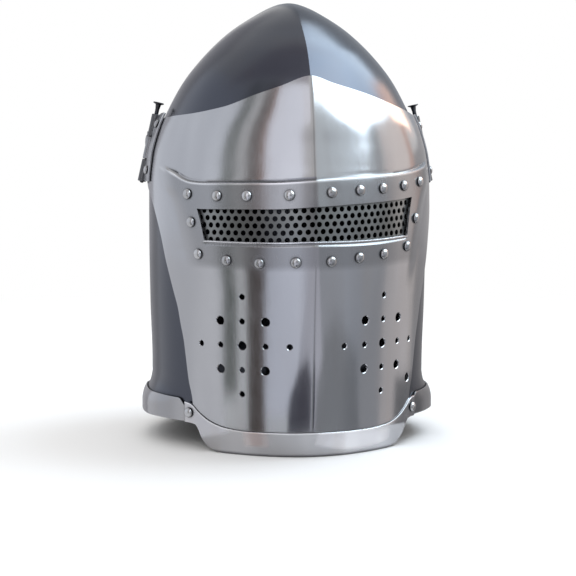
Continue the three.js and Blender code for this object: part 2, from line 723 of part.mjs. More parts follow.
// A point of the perforated plate: length from the keel, rise over the middle of the sight, lift
function onGrille(length, rise, lift) {
  const turn = turnAtLength(length);
  return lifted(visorSurface, turn, sightMiddle(turn) + rise, grilleLift + lift).point;
}

// The perforated plate laid flat: corners of faces as [length, rise, lift], three to a face
function flatGrille() {
  const step = grillePitch / 2;
  const reach = Math.floor(sightLength / step);
  const limit = quarterTurn * (sightFootTurnShare + grilleEndMarginShare);
  const rises = [-grilleFootReach, ...grilleRowShares.map((row) => row * grilleRowPitch), grilleTopReach];
  const corners = [];
  const quad = (a, b, c, d) => corners.push(a, b, c, a, c, d);
  const onFront = (...points) => quad(...points.map(({ x, y }) => [x, y, grilleWall]));
  const onBack = (...points) => quad(...points.reverse().map(({ x, y }) => [x, y, 0]));
  const across = (a, b) => quad([a.x, a.y, 0], [b.x, b.y, 0], [b.x, b.y, grilleWall], [a.x, a.y, grilleWall]);
  const grid = (k, row) => new THREE.Vector2(k * step, rises[row]);
  const plain = (...points) => {
    onFront(...points);
    onBack(...points);
  };
  const holed = (k, row) => {
    const outline = [[-1, 0], [0, 0], [1, 0], [1, 1], [0, 1], [-1, 1]].map(([i, j]) => grid(k + i, row + j));
    const middle = grid(k, row).add(grid(k, row + 1)).divideScalar(2);
    const [right, top, left, foot] = roundPoints(middle.x, middle.y, grilleHoleRadius, grilleHoleSides);
    const hole = [left, foot, right, right, top, left];
    outline.forEach((point, j) => {
      const next = (j + 1) % outline.length;
      plain(point, outline[next], hole[next], hole[j]);
      across(hole[next], hole[j]);
    });
  };
  for (let row = 0; row < rises.length - 1; row += 1) {
    const perforated = row > 0 && row < rises.length - 2;
    for (let k = -reach; k < reach; k += 1) {
      const centre = (k - row) % 2 === 0 ? k : k + 1;
      if (!perforated || turnAtLength(Math.abs(centre) * step) > limit) {
        plain(grid(k, row), grid(k + 1, row), grid(k + 1, row + 1), grid(k, row + 1));
      } else if (centre === k) holed(k, row);
    }
    across(grid(-reach, row + 1), grid(-reach, row));
    across(grid(reach, row), grid(reach, row + 1));
  }
  for (let k = -reach; k < reach; k += 1) {
    across(grid(k, 0), grid(k + 1, 0));
    across(grid(k + 1, rises.length - 1), grid(k, rises.length - 1));
  }
  return corners;
}

function sightGrille() {
  const bent = flatGrille().map((corner) => onGrille(...corner));
  const sheet = new THREE.BufferGeometry().setFromPoints(bent);
  const bore = (sightRivet.shank + rivetHoleGap) * Math.SQRT2;
  const holes = sightRivetPlaces.map((place) => (
    drill(visorSeat(...place), bore, cutOverrun, grilleHoleSides)
  ));
  return named('sight_grille', cut(sheet, holes), sheetSteel);
}

function sightRivets() {
  const grip = fitGap + visorWall + grilleGap + grilleWall + tailGap;
  return sightRivetPlaces.map(([share, height], i) => rivet(
    `sight_rivet_${String(i + 1).padStart(2, '0')}`,
    bright,
    sightRivet,
    visorSeat(share, height, fitGap),
    grip,
  ));
}

// Hinges and pivots
function web(side, index) {
  const reach = (knuckleLength / 2) * webHeightShare;
  const [low, high] = [knuckleCentre(index) - reach, knuckleCentre(index) + reach];
  const turn = side * quarterTurn * between(leafFrontShare, visorRearAt(1), webTurnShare);
  const places = [low, high].map((along) => [turn, hingePoint(side, along).z]);
  const onLeaf = column(
    visorSurface,
    places,
    fitGap + leafWall * (1 - webInsetShare),
    fitGap + leafWall * webInsetShare,
  );
  const outward = new THREE.Vector3(side, 0, 0);
  const onAxis = (distance) => [low, high]
    .map((along) => hingePoint(side, along).addScaledVector(outward, distance));
  return plate([onLeaf, { outer: onAxis(webHalfWidth), inner: onAxis(-webHalfWidth) }], false);
}

function hingeLeaf([word, side]) {
  const rear = visorRearAt(1);
  const columns = Array.from({ length: leafColumns }, (unused, i) => {
    const turn = side * quarterTurn * between(leafFrontShare, rear, i / (leafColumns - 1));
    const places = Array.from({ length: leafRows }, (none, j) => [
      turn,
      between(hingeFoot, hingeTop, j / (leafRows - 1)),
    ]);
    return column(visorSurface, places, fitGap + leafWall, fitGap);
  });
  const whole = join(
    plate(columns, false),
    web(side, 0),
    web(side, 2),
    knuckle(side, 0),
    knuckle(side, 2),
  );
  const holes = leafRivetPlaces(side).map((place) => rivetHole(visorSeat(...place), leafRivet));
  return named(`hinge_leaf_${word}`, cut(whole, [pinBore(side), ...holes]), darkSteel);
}

function leafRivets([word, side]) {
  const grip = fitGap * 2 + leafWall + visorWall * leafShankShare;
  return leafRivetPlaces(side).map(([share, height], i) => rivet(
    `leaf_rivet_${word}_${['lower', 'upper'][i]}`,
    darkSteel,
    leafRivet,
    visorSeat(share, height, fitGap * 2 + leafWall),
    grip,
  ));
}

function pivotArm([word, side]) {
  const outline = [
    new THREE.Vector2(-hingeForward, hingeMiddle - armHalfHeight),
    ...roundPoints(pivotBack, pivotHeight, armEndRadius, armArcSteps, -quarterTurn, quarterTurn * 2),
    new THREE.Vector2(-hingeForward, hingeMiddle + armHalfHeight),
  ];
  const arm = prism(outline, armWall);
  arm.applyMatrix4(sideways).translate(side * (armInside + armWall / 2) - armWall / 2, 0, 0);
  const whole = join(arm, knuckle(side, 1));
  const hole = drill(pivotSeat(side), stud.shank + rivetHoleGap, cutOverrun);
  return named(`pivot_arm_${word}`, cut(whole, [pinBore(side), hole]), darkSteel);
}

function hingePin([word, side]) {
  const top = hingeLength + pinHead.proud;
  const neckTop = top - pinHead.rim - pinHead.flare;
  const mesh = named(`hinge_pin_${word}`, turned([
    [0, top], [pinHead.radius, top], [pinHead.radius, top - pinHead.rim], [pinHead.neck, neckTop],
    [pinRadius, neckTop - pinHead.neckLength], [pinRadius, pinFootChamfer - pinFootProud],
    [pinRadius - pinFootChamfer, -pinFootProud], [0, -pinFootProud],
  ], knuckleSides), darkSteel);
  mesh.position.copy(hingePoint(side, 0));
  mesh.quaternion.setFromUnitVectors(alongY, hingeAxis(side));
  return mesh;
}

function pivotParts([word, side]) {
  const head = armInside + armWall + fitGap;
  const collarTop = armInside - fitGap;
  const collarFoot = skullBeside(pivotBack - stud.collar, pivotHeight - stud.collar, fitGap);
  const washerTop = skullBeside(
    pivotBack + washerRadius,
    pivotHeight + washerRadius,
    -skullWall - tailGap,
  );
  const washerFoot = washerTop - washerWall;
  const tail = washerFoot - fitGap;
  const bore = stud.shank + rivetHoleGap;
  const meshes = [
    named(`pivot_stud_${word}`, turned([
      [0, head + stud.rise], [stud.head * domeMiddleShare, head + stud.rise * domeMiddleRiseShare],
      [stud.head, head], [stud.shank, head],
      [stud.shank, collarTop], [stud.collar, collarTop], [stud.collar, collarFoot],
      [stud.shank, collarFoot], [stud.shank, tail], [stud.tail, tail], [stud.tail, tail - stud.tailRise],
      [0, tail - stud.tailRise],
    ], knuckleSides), bright),
    named(`pivot_washer_${word}`, turned([
      [bore, washerTop], [washerRadius, washerTop], [washerRadius, washerFoot], [bore, washerFoot],
      [bore, washerTop],
    ], knuckleSides), darkSteel),
  ];
  for (const mesh of meshes) {
    mesh.position.set(0, pivotBack, pivotHeight);
    mesh.quaternion.setFromUnitVectors(alongY, new THREE.Vector3(side, 0, 0));
  }
  return meshes;
}

// Liner
function linerCap() {
  const crown = helmHeight * linerCrownShare;
  const columns = ringShares.map((share) => {
    const turn = share * quarterTurn;
    const places = linerRowShares.map((row) => [turn, between(linerRim(turn), crown, row)]);
    return column(linerSurface, places, 0, -linerWall);
  });
  const windowRadius = washerRadius + linerPivotGap;
  const linerInside = skullBeside(
    pivotBack + windowRadius,
    pivotHeight + windowRadius,
    -skullWall - linerGap - linerWall,
  );
  const windowDepth = armInside - linerInside + cutOverrun;
  return named('liner', cut(plate(columns, true), [
    ...sides.map(([, side]) => drill(pivotSeat(side), windowRadius, windowDepth)),
    ...backRivetPlaces.map((place) => rivetHole(skullSeat(...place), linerRivet)),
    ...[...browRivetPlaces, ...strapRivetPlaces].map((place) => rivetHole(skullSeat(...place), flushRivet)),
  ]), leather);
}

function linerRivets() {
  const grip = fitGap + skullWall + linerGap + linerWall + tailGap;
  return [
    ...backRivetPlaces.map((place) => [place, linerRivet]),
    ...browRivetPlaces.map((place) => [place, flushRivet]),
  ].map(([place, size], i) => rivet(
    `liner_rivet_${i + 1}`,
    size === flushRivet ? blackened : darkSteel,
    size,
    skullSeat(...place, fitGap),
    grip,
  ));
}

// Chin straps: a frame at each strap's top, with local Y pointing out of the helmet
const loopRadius = buckleWire * Math.SQRT1_2 + fitGap;
const foldRadius = loopRadius + strapWall;

function strapSeat(side) {
  const lift = -skullWall - linerGap - linerWall - strapGap;
  const seat = lifted(skullSurface, side * strapTurnShare * quarterTurn, strapTop, lift);
  const group = new THREE.Group();
  group.position.copy(seat.point);
  group.rotation.z = Math.atan2(-seat.normal.x, seat.normal.y);
  return group;
}

const strapRivetHole = () => drill(
  { point: new THREE.Vector3(0, 0, -strapRivetDrop), normal: alongY },
  flushRivet.shank + rivetHoleGap * 2,
  cutOverrun,
);

function plainStrap() {
  const half = strapWidth / 2;
  const outline = [[-half, 0], [half, 0], [half, strapTipHeight - strapLength], [0, -strapLength],
    [-half, strapTipHeight - strapLength]].map(([x, z]) => new THREE.Vector2(x, z));
  const holes = Array.from({ length: strapHoleCount }, (unused, i) => roundPoints(
    0,
    strapTipHeight - strapLength + strapHoleSpacing * (i + strapFirstHoleShare),
    strapHoleRadius,
    strapArcSteps,
  ));
  const strap = prism(outline, strapWall, holes);
  strap.rotateX(quarterTurn);
  return named('chin_strap_left', cut(strap, [strapRivetHole()]), leather);
}

function buckleStrap() {
  const eye = -buckleDrop;
  const outline = [
    new THREE.Vector2(0, 0),
    ...roundPoints(-foldRadius, eye, foldRadius, strapArcSteps, 0, -quarterTurn * 2),
    new THREE.Vector2(-strapWall * 2, eye + foldRadius + strapWall),
    new THREE.Vector2(-strapWall * 2, eye + strapFold),
    new THREE.Vector2(-strapWall, eye + strapFold),
    new THREE.Vector2(-strapWall, 0),
  ];
  const eyeHole = roundPoints(-foldRadius, eye, loopRadius, strapArcSteps * 2);
  const strap = prism(outline, strapWidth, [eyeHole]);
  strap.applyMatrix4(sideways).translate(-strapWidth / 2, 0, 0);
  const notchHeight = foldRadius * 2 + fitGap * 2;
  const notch = new THREE.BoxGeometry(prongNotch, foldRadius * 4, notchHeight);
  notch.translate(0, -foldRadius, eye);
  return named('chin_strap_right', cut(strap, [notch, strapRivetHole()]), leather);
}

function buckleFrame() {
  const opening = strapWidth / 2 + buckleWidthGap;
  const outside = opening + buckleWire;
  const foot = -buckleWire / 2 - buckleOpening;
  const corners = (x, top, bottom) => [[-x, bottom], [x, bottom], [x, top], [-x, top]]
    .map(([across, place]) => new THREE.Vector2(across, place));
  const frame = prism(corners(outside, buckleWire / 2, foot - buckleWire), buckleWire, [
    corners(opening, -buckleWire / 2, foot),
  ]);
  frame.rotateX(quarterTurn).translate(0, buckleWire / 2 - foldRadius, -buckleDrop);
  return named('buckle_frame', closed(frame), brass);
}

function buckleProng() {
  const ring = prism(roundPoints(0, 0, foldRadius - fitGap, strapArcSteps * 2), prongWidth, [
    roundPoints(0, 0, loopRadius, strapArcSteps * 2),
  ]);
  const length = buckleWire * 2 + buckleOpening + prongOverhang;
  const wall = foldRadius - fitGap - loopRadius;
  const tongue = new THREE.BoxGeometry(wall, length, prongWidth);
  tongue.translate(-loopRadius - wall / 2, -length / 2, prongWidth / 2);
  const prong = join(ring, tongue);
  prong.applyMatrix4(sideways).translate(-prongWidth / 2, -foldRadius, -buckleDrop);
  return named('buckle_prong', prong, brass);
}

function strapRivet([word, side]) {
  const seat = skullSeat(side * strapTurnShare, strapTop - strapRivetDrop, fitGap);
  const frame = strapSeat(side);
  const outward = new THREE.Vector3(0, 1, 0).applyEuler(frame.rotation);
  const farFace = frame.position.clone().addScaledVector(outward, -strapWall - strapTailGap);
  const grip = seat.point.clone().sub(farFace).dot(outward) / seat.normal.dot(outward);
  return rivet(`strap_rivet_${word}`, blackened, flushRivet, seat, grip);
}

// The helmet
const helmet = new THREE.Group();
const skullGroup = new THREE.Group();
const visorGroup = new THREE.Group();
const linerGroup = new THREE.Group();
const [rightStrap, leftStrap] = sides.map(([, side]) => strapSeat(side));
helmet.add(skullGroup, visorGroup, linerGroup);
linerGroup.add(rightStrap, leftStrap);

skullGroup.add(skullShell(), rearRimBand(), frontChinBand(), ...sides.flatMap(pivotParts));
const tabStandoff = visorStandoff + chinProud + fitGap;
skullGroup.add(
  ...sides.map(([word, side], i) => rivet(
    `tab_rivet_${word}`,
    bright,
    bandRivet,
    skullSeat(...tabRivetPlaces[i], tabStandoff),
    tabStandoff + skullWall + tailGap,
  )),
  rivet(
    'nape_rivet',
    bright,
    bandRivet,
    skullSeat(2, napeRivetHeight, fitGap * 2 + bandWall),
    fitGap * 2 + bandWall + skullWall + tailGap,
  ),
);
visorGroup.add(visorPlate(), sightGrille(), ...sightRivets());
visorGroup.add(...sides.map(hingeLeaf), ...sides.flatMap(leafRivets), ...sides.map(pivotArm));
visorGroup.add(...sides.map(hingePin));
linerGroup.add(linerCap(), ...linerRivets(), ...sides.map(strapRivet));
rightStrap.add(buckleStrap(), buckleFrame(), buckleProng());
leftStrap.add(plainStrap());

export default helmet;
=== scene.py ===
import logging
import math
from collections.abc import Callable, Iterable, Iterator, Sequence
from contextlib import contextmanager
from dataclasses import dataclass, replace
from enum import Enum

import bpy
import numpy as np
from mathutils import Matrix, Vector


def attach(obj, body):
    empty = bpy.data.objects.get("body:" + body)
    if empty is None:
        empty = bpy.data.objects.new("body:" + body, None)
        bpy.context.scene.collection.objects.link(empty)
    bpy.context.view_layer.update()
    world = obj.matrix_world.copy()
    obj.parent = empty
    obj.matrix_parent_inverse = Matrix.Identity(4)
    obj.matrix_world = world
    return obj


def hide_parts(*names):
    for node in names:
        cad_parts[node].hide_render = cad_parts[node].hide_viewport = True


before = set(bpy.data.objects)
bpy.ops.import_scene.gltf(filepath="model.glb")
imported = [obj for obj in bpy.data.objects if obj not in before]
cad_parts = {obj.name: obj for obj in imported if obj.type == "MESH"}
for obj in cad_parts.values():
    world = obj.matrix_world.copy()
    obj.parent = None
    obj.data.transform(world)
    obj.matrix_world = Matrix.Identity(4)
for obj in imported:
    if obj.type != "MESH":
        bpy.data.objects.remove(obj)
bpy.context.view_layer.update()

LOG = logging.getLogger("helmet")

MM = 0.001
FULL_TURN = 2 * math.pi
QUARTER_TURN = math.pi / 2
ALL_ROUND = 2.0
UP = Vector((0, 0, 1))
WHITE = (1, 1, 1, 1)
MERGE = 0.01 * MM
THIN = 0.001 * MM
HAIR = 1e-9
LEVEL = math.radians(1)

Rows = Sequence[tuple[float, float]]
Array = np.ndarray
Surface = Callable[[Array, Array], Array]
Piece = bpy.types.Object
Tone = tuple[float, float, float]
Stretch = tuple[float, float, float]


class Side(Enum):
    """The wearer's two sides, each with its sign along X."""

    RIGHT = -1
    LEFT = 1

    @property
    def word(self) -> str:
        """The side's word in the names of nodes and pieces."""
        return self.name.lower()


class Body(Enum):
    """The moving bodies of the frame."""

    HELMET = "helmet"
    VISOR = "visor"
    PIN_RIGHT = "pin_right"
    PIN_LEFT = "pin_left"
    BUCKLE = "buckle"
    PRONG = "prong"


class Slot(Enum):
    """The record's material slots."""

    BLACKENED = "blackened_steel"
    POLISHED = "polished_steel"
    BRIGHT = "bright_steel"
    DARK = "dark_steel"
    SHEET = "sheet_steel"
    LEATHER = "leather"
    BRASS = "brass"


# Form of the helmet


class Curve:
    """A curve through rows of place and value that never overshoots them."""

    def __init__(self, rows: Rows) -> None:
        """Works out the tangents.

        Args:
            rows: Places, in rising order, with their values.
        """
        self.places, self.values = np.array(rows, float).T
        slopes = np.diff(self.values) / np.diff(self.places)
        product = slopes[:-1] * slopes[1:]
        total = np.where(product > 0, slopes[:-1] + slopes[1:], 1.0)
        inner = np.where(product > 0, 2 * product / total, 0.0)
        self.tangents = np.concatenate([slopes[:1], inner, slopes[-1:]])

    def __call__(self, place: Array | float) -> Array:
        """The curve's value.

        Args:
            place: One place or an array of them.

        Returns:
            The values there, held level beyond the ends.
        """
        held = np.clip(place, self.places[0], self.places[-1])
        row = np.clip(np.searchsorted(self.places, held, side="right") - 1, 0, len(self.places) - 2)
        width = self.places[row + 1] - self.places[row]
        t = (held - self.places[row]) / width
        rise = self.values[row + 1] - self.values[row]
        bend_in = t * (1 - t) ** 2 * width * self.tangents[row]
        bend_out = t * t * (1 - t) * width * self.tangents[row + 1]
        return self.values[row] + rise * t * t * (3 - 2 * t) + bend_in - bend_out


@dataclass
class Form:
    """The shape that every plate follows. Turns are in quarter turns from the face."""

    height: float = 356 * MM
    half_width: float = 114.4 * MM
    face_reach: float = 130.8 * MM
    nape_reach: float = 130 * MM
    flank: float = 0.9
    face_keel: float = 0.15
    nape_keel: float = 0.1
    keel_least: float = 1e-6
    keel_soft: Curve = Curve([
        (0, 0.26), (0.1, 0.22), (0.22, 0.12), (0.36, 0.05), (0.5, 0.012), (0.6, 0.002), (1, 0.002),
    ])
    skull_wall: float = 1.8 * MM
    visor_wall: float = 1.6 * MM
    fit_gap: float = 0.3 * MM
    tail_gap: float = 1.3 * MM
    rim_height: float = 21.5 * MM
    flare_depth: float = 6.8 * MM
    flare_height: float = 30 * MM
    visor_standoff: float = 3.2 * MM
    visor_foot_gap: float = 0.6 * MM
    crease_depth: float = 2.8 * MM
    crease_half_height: float = 1.4 * MM
    sight_drop: float = 20 * MM
    chin_proud: float = 1 * MM
    chin_taper: float = 4.6 * MM
    pivot_back: float = 20 * MM
    pivot_share: float = 0.6784
    liner_gap: float = 1 * MM
    liner_brow: float = 0.6965
    liner_rim: float = 0.601
    liner_crown: float = 0.91
    liner_crown_radius: float = 20 * MM
    edge_passes: int = 6
    probe: float = 0.0005
    least_normal: float = 1e-15
    side: Curve = Curve([
        (0, 0.984), (0.174, 0.984), (0.312, 0.995), (0.452, 1), (0.576, 0.998), (0.6447, 0.976),
        (0.7065, 0.923), (0.758, 0.85), (0.8146, 0.752), (0.869, 0.6195), (0.9256, 0.439),
        (0.966, 0.2535), (0.9935, 0.084), (1, 0),
    ])
    face: Curve = Curve([
        (0, 0.897), (0.056, 0.9006), (0.115, 0.91), (0.219, 0.933), (0.34, 0.963), (0.424, 0.986),
        (0.508, 1), (0.5787, 0.981), (0.626, 0.958), (0.666, 0.939), (0.711, 0.92), (0.761, 0.885),
        (0.812, 0.836), (0.865, 0.742), (0.913, 0.595), (0.966, 0.37), (0.9915, 0.165), (1, 0),
    ])
    nape: Curve = Curve([
        (0, 0.955), (0.12, 0.955), (0.3, 0.985), (0.5, 1), (0.64, 0.985), (0.73, 0.93), (0.81, 0.81),
        (0.87, 0.68), (0.92, 0.53), (0.966, 0.32), (0.992, 0.135), (1, 0),
    ])
    rim: Curve = Curve([
        (0, 1), (1.1, 1), (1.3, 0.86), (1.5, 0.4), (1.62, 0.1), (1.7, 0), (2, 0),
    ])
    flare_rise: Curve = Curve([
        (0, 1), (0.24, 1), (0.42, 0.88), (0.6, 0.55), (0.78, 0.2), (1, 0),
    ])
    flare_turn: Curve = Curve([
        (0, 0), (0.6, 0.02), (0.75, 0.5), (0.9, 1), (2, 1),
    ])
    visor_top_shares: Curve = Curve([
        (-1, 0.729), (-0.76, 0.733), (-0.62, 0.7355), (-0.43, 0.747), (-0.27, 0.772), (-0.16, 0.788),
        (0, 0.8105), (0.12, 0.796), (0.3, 0.778), (0.44, 0.763), (0.58, 0.75), (0.76, 0.739), (1, 0.731),
    ])
    visor_rear_shares: Curve = Curve([
        (0.05, 0.53), (0.111, 0.54), (0.155, 0.563), (0.207, 0.58), (0.242, 0.59), (0.277, 0.607),
        (0.312, 0.623), (0.346, 0.65), (0.38, 0.678), (0.415, 0.708), (0.468, 0.75), (0.513, 0.801),
        (0.551, 0.86), (0.58, 0.93), (0.605, 0.963), (0.74, 0.963),
    ])
    crease_shares: Curve = Curve([
        (-0.78, 0.628), (-0.7, 0.617), (-0.632, 0.607), (-0.58, 0.595), (-0.53, 0.5885), (-0.46, 0.586),
        (-0.18, 0.5865), (0, 0.5915), (0.15, 0.5965), (0.39, 0.605), (0.525, 0.613), (0.6, 0.619),
        (0.68, 0.6275), (0.78, 0.64),
    ])
    crease_fade: Curve = Curve([(0, 1), (0.64, 1), (0.8, 0), (1, 0)])
    flank_fade: Curve = Curve([(0, 1), (0.35, 0.96), (0.65, 0.6), (1, 0)])
    flank_heights: Curve = Curve([(0.34, 1), (0.44, 0)])
    sight_foot_shares: Curve = Curve([
        (-0.46, 0.4625), (-0.3, 0.4605), (-0.18, 0.46), (0, 0.462), (0.1, 0.462), (0.23, 0.4635),
        (0.46, 0.4705),
    ])
    chin_top_shares: Curve = Curve([
        (0, 0.0542), (0.18, 0.0534), (0.27, 0.0537), (0.367, 0.0584), (0.44, 0.069), (0.5, 0.0857),
        (0.55, 0.1025), (0.6, 0.1065),
    ])
    chin_foot_shares: Curve = Curve([
        (0, 0), (0.38, 0), (0.41, 0.03), (0.44, 0.1), (0.463, 0.19), (0.482, 0.33), (0.495, 0.52),
        (0.506, 0.82), (0.52, 0.96), (0.56, 1), (0.6, 1),
    ])
    band_top: Curve = Curve([
        (0.52, 0.64), (0.59, 0.66), (0.64, 1), (2, 1),
    ])
    liner_rim_turn: Curve = Curve([
        (0, 1), (0.5, 1), (0.62, 0.75), (0.72, 0.1), (0.8, 0), (2, 0),
    ])
    liner_draw: Curve = Curve([
        (0, 0), (0.22, 0), (0.45, 0.06), (0.7, 0.25), (0.86, 0.55), (1, 1),
    ])

    @staticmethod
    def plain_turn(turn: Array) -> Array:
        """The turn from the face, either way round, from none to two quarters."""
        return np.abs((np.asarray(turn, float) + ALL_ROUND) % (2 * ALL_ROUND) - ALL_ROUND)

    def rim_line(self, turn: Array) -> Array:
        """Height of the skull's rim at a turn."""
        return self.rim_height * self.rim(self.plain_turn(turn))

    def visor_rear(self, height: Array) -> Array:
        """Turn of the visor's rear edge at a height."""
        return self.visor_rear_shares(np.asarray(height) / self.height)

    def crease(self, turn: Array) -> Array:
        """Height of the crease over the sight at a turn."""
        return self.height * self.crease_shares(turn)

    def visor_top(self, turn: Array) -> Array:
        """Height of the visor's upper edge at a turn."""
        return self.height * self.visor_top_shares(turn)

    def chin_top(self, turn: Array) -> Array:
        """Height of the chin band's upper edge at a turn."""
        return self.height * self.chin_top_shares(self.plain_turn(turn))

    def chin_foot(self, turn: Array) -> Array:
        """Height of the chin band's lower edge at a turn."""
        return self.rim_height * self.chin_foot_shares(self.plain_turn(turn))

    def visor_foot(self, turn: Array) -> Array:
        """Height of the visor's lower edge at a turn."""
        return self.chin_top(turn) + self.visor_foot_gap

    def sight_top(self, turn: Array) -> Array:
        """Height of the sight's upper edge at a turn."""
        return self.crease(turn) - self.sight_drop

    def sight_foot(self, turn: Array) -> Array:
        """Height of the sight's lower edge at a turn."""
        return self.height * self.sight_foot_shares(turn)

    def skull_side(self, height: float) -> float:
        """Half width of the skull at a height."""
        return float(self.half_width * self.side(height / self.height))

    def section(self, turn: Array, height: Array, growth: Array | float) -> Array:
        """A point of the skull's bare section.

        Args:
            turn: Quarter turns from the face.
            height: Heights over the ground.
            growth: Distance that the section is let out by.

        Returns:
            Points, in an array whose last axis is X, Y, Z.
        """
        share = np.asarray(height) / self.height
        angle = np.asarray(turn) * QUARTER_TURN
        ahead = np.cos(angle) >= 0
        reach = np.where(ahead, self.face_reach * self.face(share), self.nape_reach * self.nape(share))
        keel = np.where(ahead, self.face_keel, self.nape_keel)
        slant = np.abs(np.sin(angle))
        soft = np.where(ahead, self.keel_soft(share), self.keel_least)
        draw = 1 - keel * np.where(slant > soft, slant, (slant ** 2 + soft ** 2) / (2 * soft))
        depth = (reach + growth) * np.abs(np.cos(angle)) ** self.flank * draw
        across = (self.half_width * self.side(share) + growth) * np.sin(angle)
        return np.stack([across, np.where(ahead, -depth, depth), height + 0 * angle], axis=-1)

    def skull(self, turn: Array, height: Array) -> Array:
        """The skull's outer surface, with the flare over its rim.

        Args:
            turn: Quarter turns from the face.
            height: Heights over the ground.

        Returns:
            Points.
        """
        rise = (height - self.rim_line(turn)) / self.flare_height
        flare = self.flare_depth * self.flare_rise(rise) * self.flare_turn(self.plain_turn(turn))
        return self.section(turn, height, flare)

    def proud(self, turn: Array, height: Array, half: float) -> Array:
        """How far the belt under the crease stands out.

        Args:
            turn: Quarter turns from the face.
            height: Heights over the ground.
            half: Half of the height over which the step is made.

        Returns:
            Distances from the plate over the crease.
        """
        drop = (self.crease(turn) + half - height) / (2 * half)
        share = np.abs(turn) / self.visor_rear(height)
        low = self.flank_heights(height / self.height)
        fade = self.crease_fade(share) * (1 - low) + self.flank_fade(share) * low
        return self.crease_depth * fade * np.clip(drop, 0, 1)

    def visor(self, turn: Array, height: Array) -> Array:
        """The visor's outer surface."""
        proud = self.proud(turn, height, self.crease_half_height)
        return self.section(turn, height, self.visor_standoff + proud)

    def chin(self, turn: Array, height: Array) -> Array:
        """The chin band's outer surface.

        Args:
            turn: Quarter turns from the face.
            height: Heights over the ground.

        Returns:
            Points.
        """
        proud = self.proud(turn, self.chin_top(turn), self.crease_half_height)
        draw = self.chin_taper * np.maximum(0, 1 - height / self.chin_top(0))
        return self.section(turn, height, self.visor_standoff + proud + self.chin_proud - draw)

    def liner_foot(self, turn: Array) -> Array:
        """Height of the liner's lower edge at a turn."""
        share = self.liner_rim_turn(self.plain_turn(turn))
        return self.height * (self.liner_rim + (self.liner_brow - self.liner_rim) * share)

    def liner(self, turn: Array, height: Array) -> Array:
        """The liner's outer surface, drawn in to its crown.

        Args:
            turn: Quarter turns from the face.
            height: Heights over the ground.

        Returns:
            Points.
        """
        foot = self.liner_foot(turn)
        share = np.clip((height - foot) / (self.height * self.liner_crown - foot), 0, 1)
        wall, _ = self.lifted(self.skull, turn, height, -self.skull_wall - self.liner_gap)
        angle = np.asarray(turn) * QUARTER_TURN
        radius = self.liner_crown_radius
        centre = np.stack([radius * np.sin(angle), -radius * np.cos(angle), height + 0 * angle], axis=-1)
        return wall + (centre - wall) * self.liner_draw(share)[..., None]

    def lifted(
        self, surface: Surface, turn: Array, height: Array, lift: Array | float
    ) -> tuple[Array, Array]:
        """Points at a distance over a surface.

        Args:
            surface: The surface, a function of turn and height.
            turn: Quarter turns from the face.
            height: Heights over the ground.
            lift: Distance outwards along the normal.

        Returns:
            The points and the outward normals there.
        """
        turn, height = np.broadcast_arrays(np.asarray(turn, float), np.asarray(height, float))
        step = self.height * self.probe
        across = surface(turn + self.probe, height) - surface(turn - self.probe, height)
        rising = surface(turn, np.minimum(height + step, self.height)) - surface(turn, height - step)
        normal = np.cross(across, rising)
        length = np.linalg.norm(normal, axis=-1, keepdims=True)
        flat = length < self.least_normal
        normal = np.where(flat, np.array(UP), normal / np.where(flat, 1, length))
        return surface(turn, height) + normal * np.asarray(lift)[..., None], normal

    def edge_height(self, share: Array, edge: Callable[[Array], Array]) -> Array:
        """Height at which a column of the visor meets one of its edges.

        Args:
            share: Share of the way from the keel to the visor's rear edge.
            edge: The edge's height as a function of turn.

        Returns:
            Heights over the ground.
        """
        height = edge(share)
        for _ in range(self.edge_passes):
            height = edge(share * self.visor_rear(height))
        return height


@dataclass(frozen=True)
class Seat:
    """A place on a surface, with the surface's outward normal."""

    point: Vector
    normal: Vector

    @classmethod
    def on(cls, form: Form, surface: Surface, turn: float, height: float, lift: float = 0) -> "Seat":
        """A seat on one of the form's surfaces, lifted outwards from it."""
        point, normal = form.lifted(surface, np.array([turn]), np.array([height]), lift)
        return cls(Vector(point[0]), Vector(normal[0]))

    def matrix(self) -> Matrix:
        """The turn and move that take an upright thing at the origin to this seat."""
        return Matrix.Translation(self.point) @ self.normal.to_track_quat("Z", "Y").to_matrix().to_4x4()


# Bench work


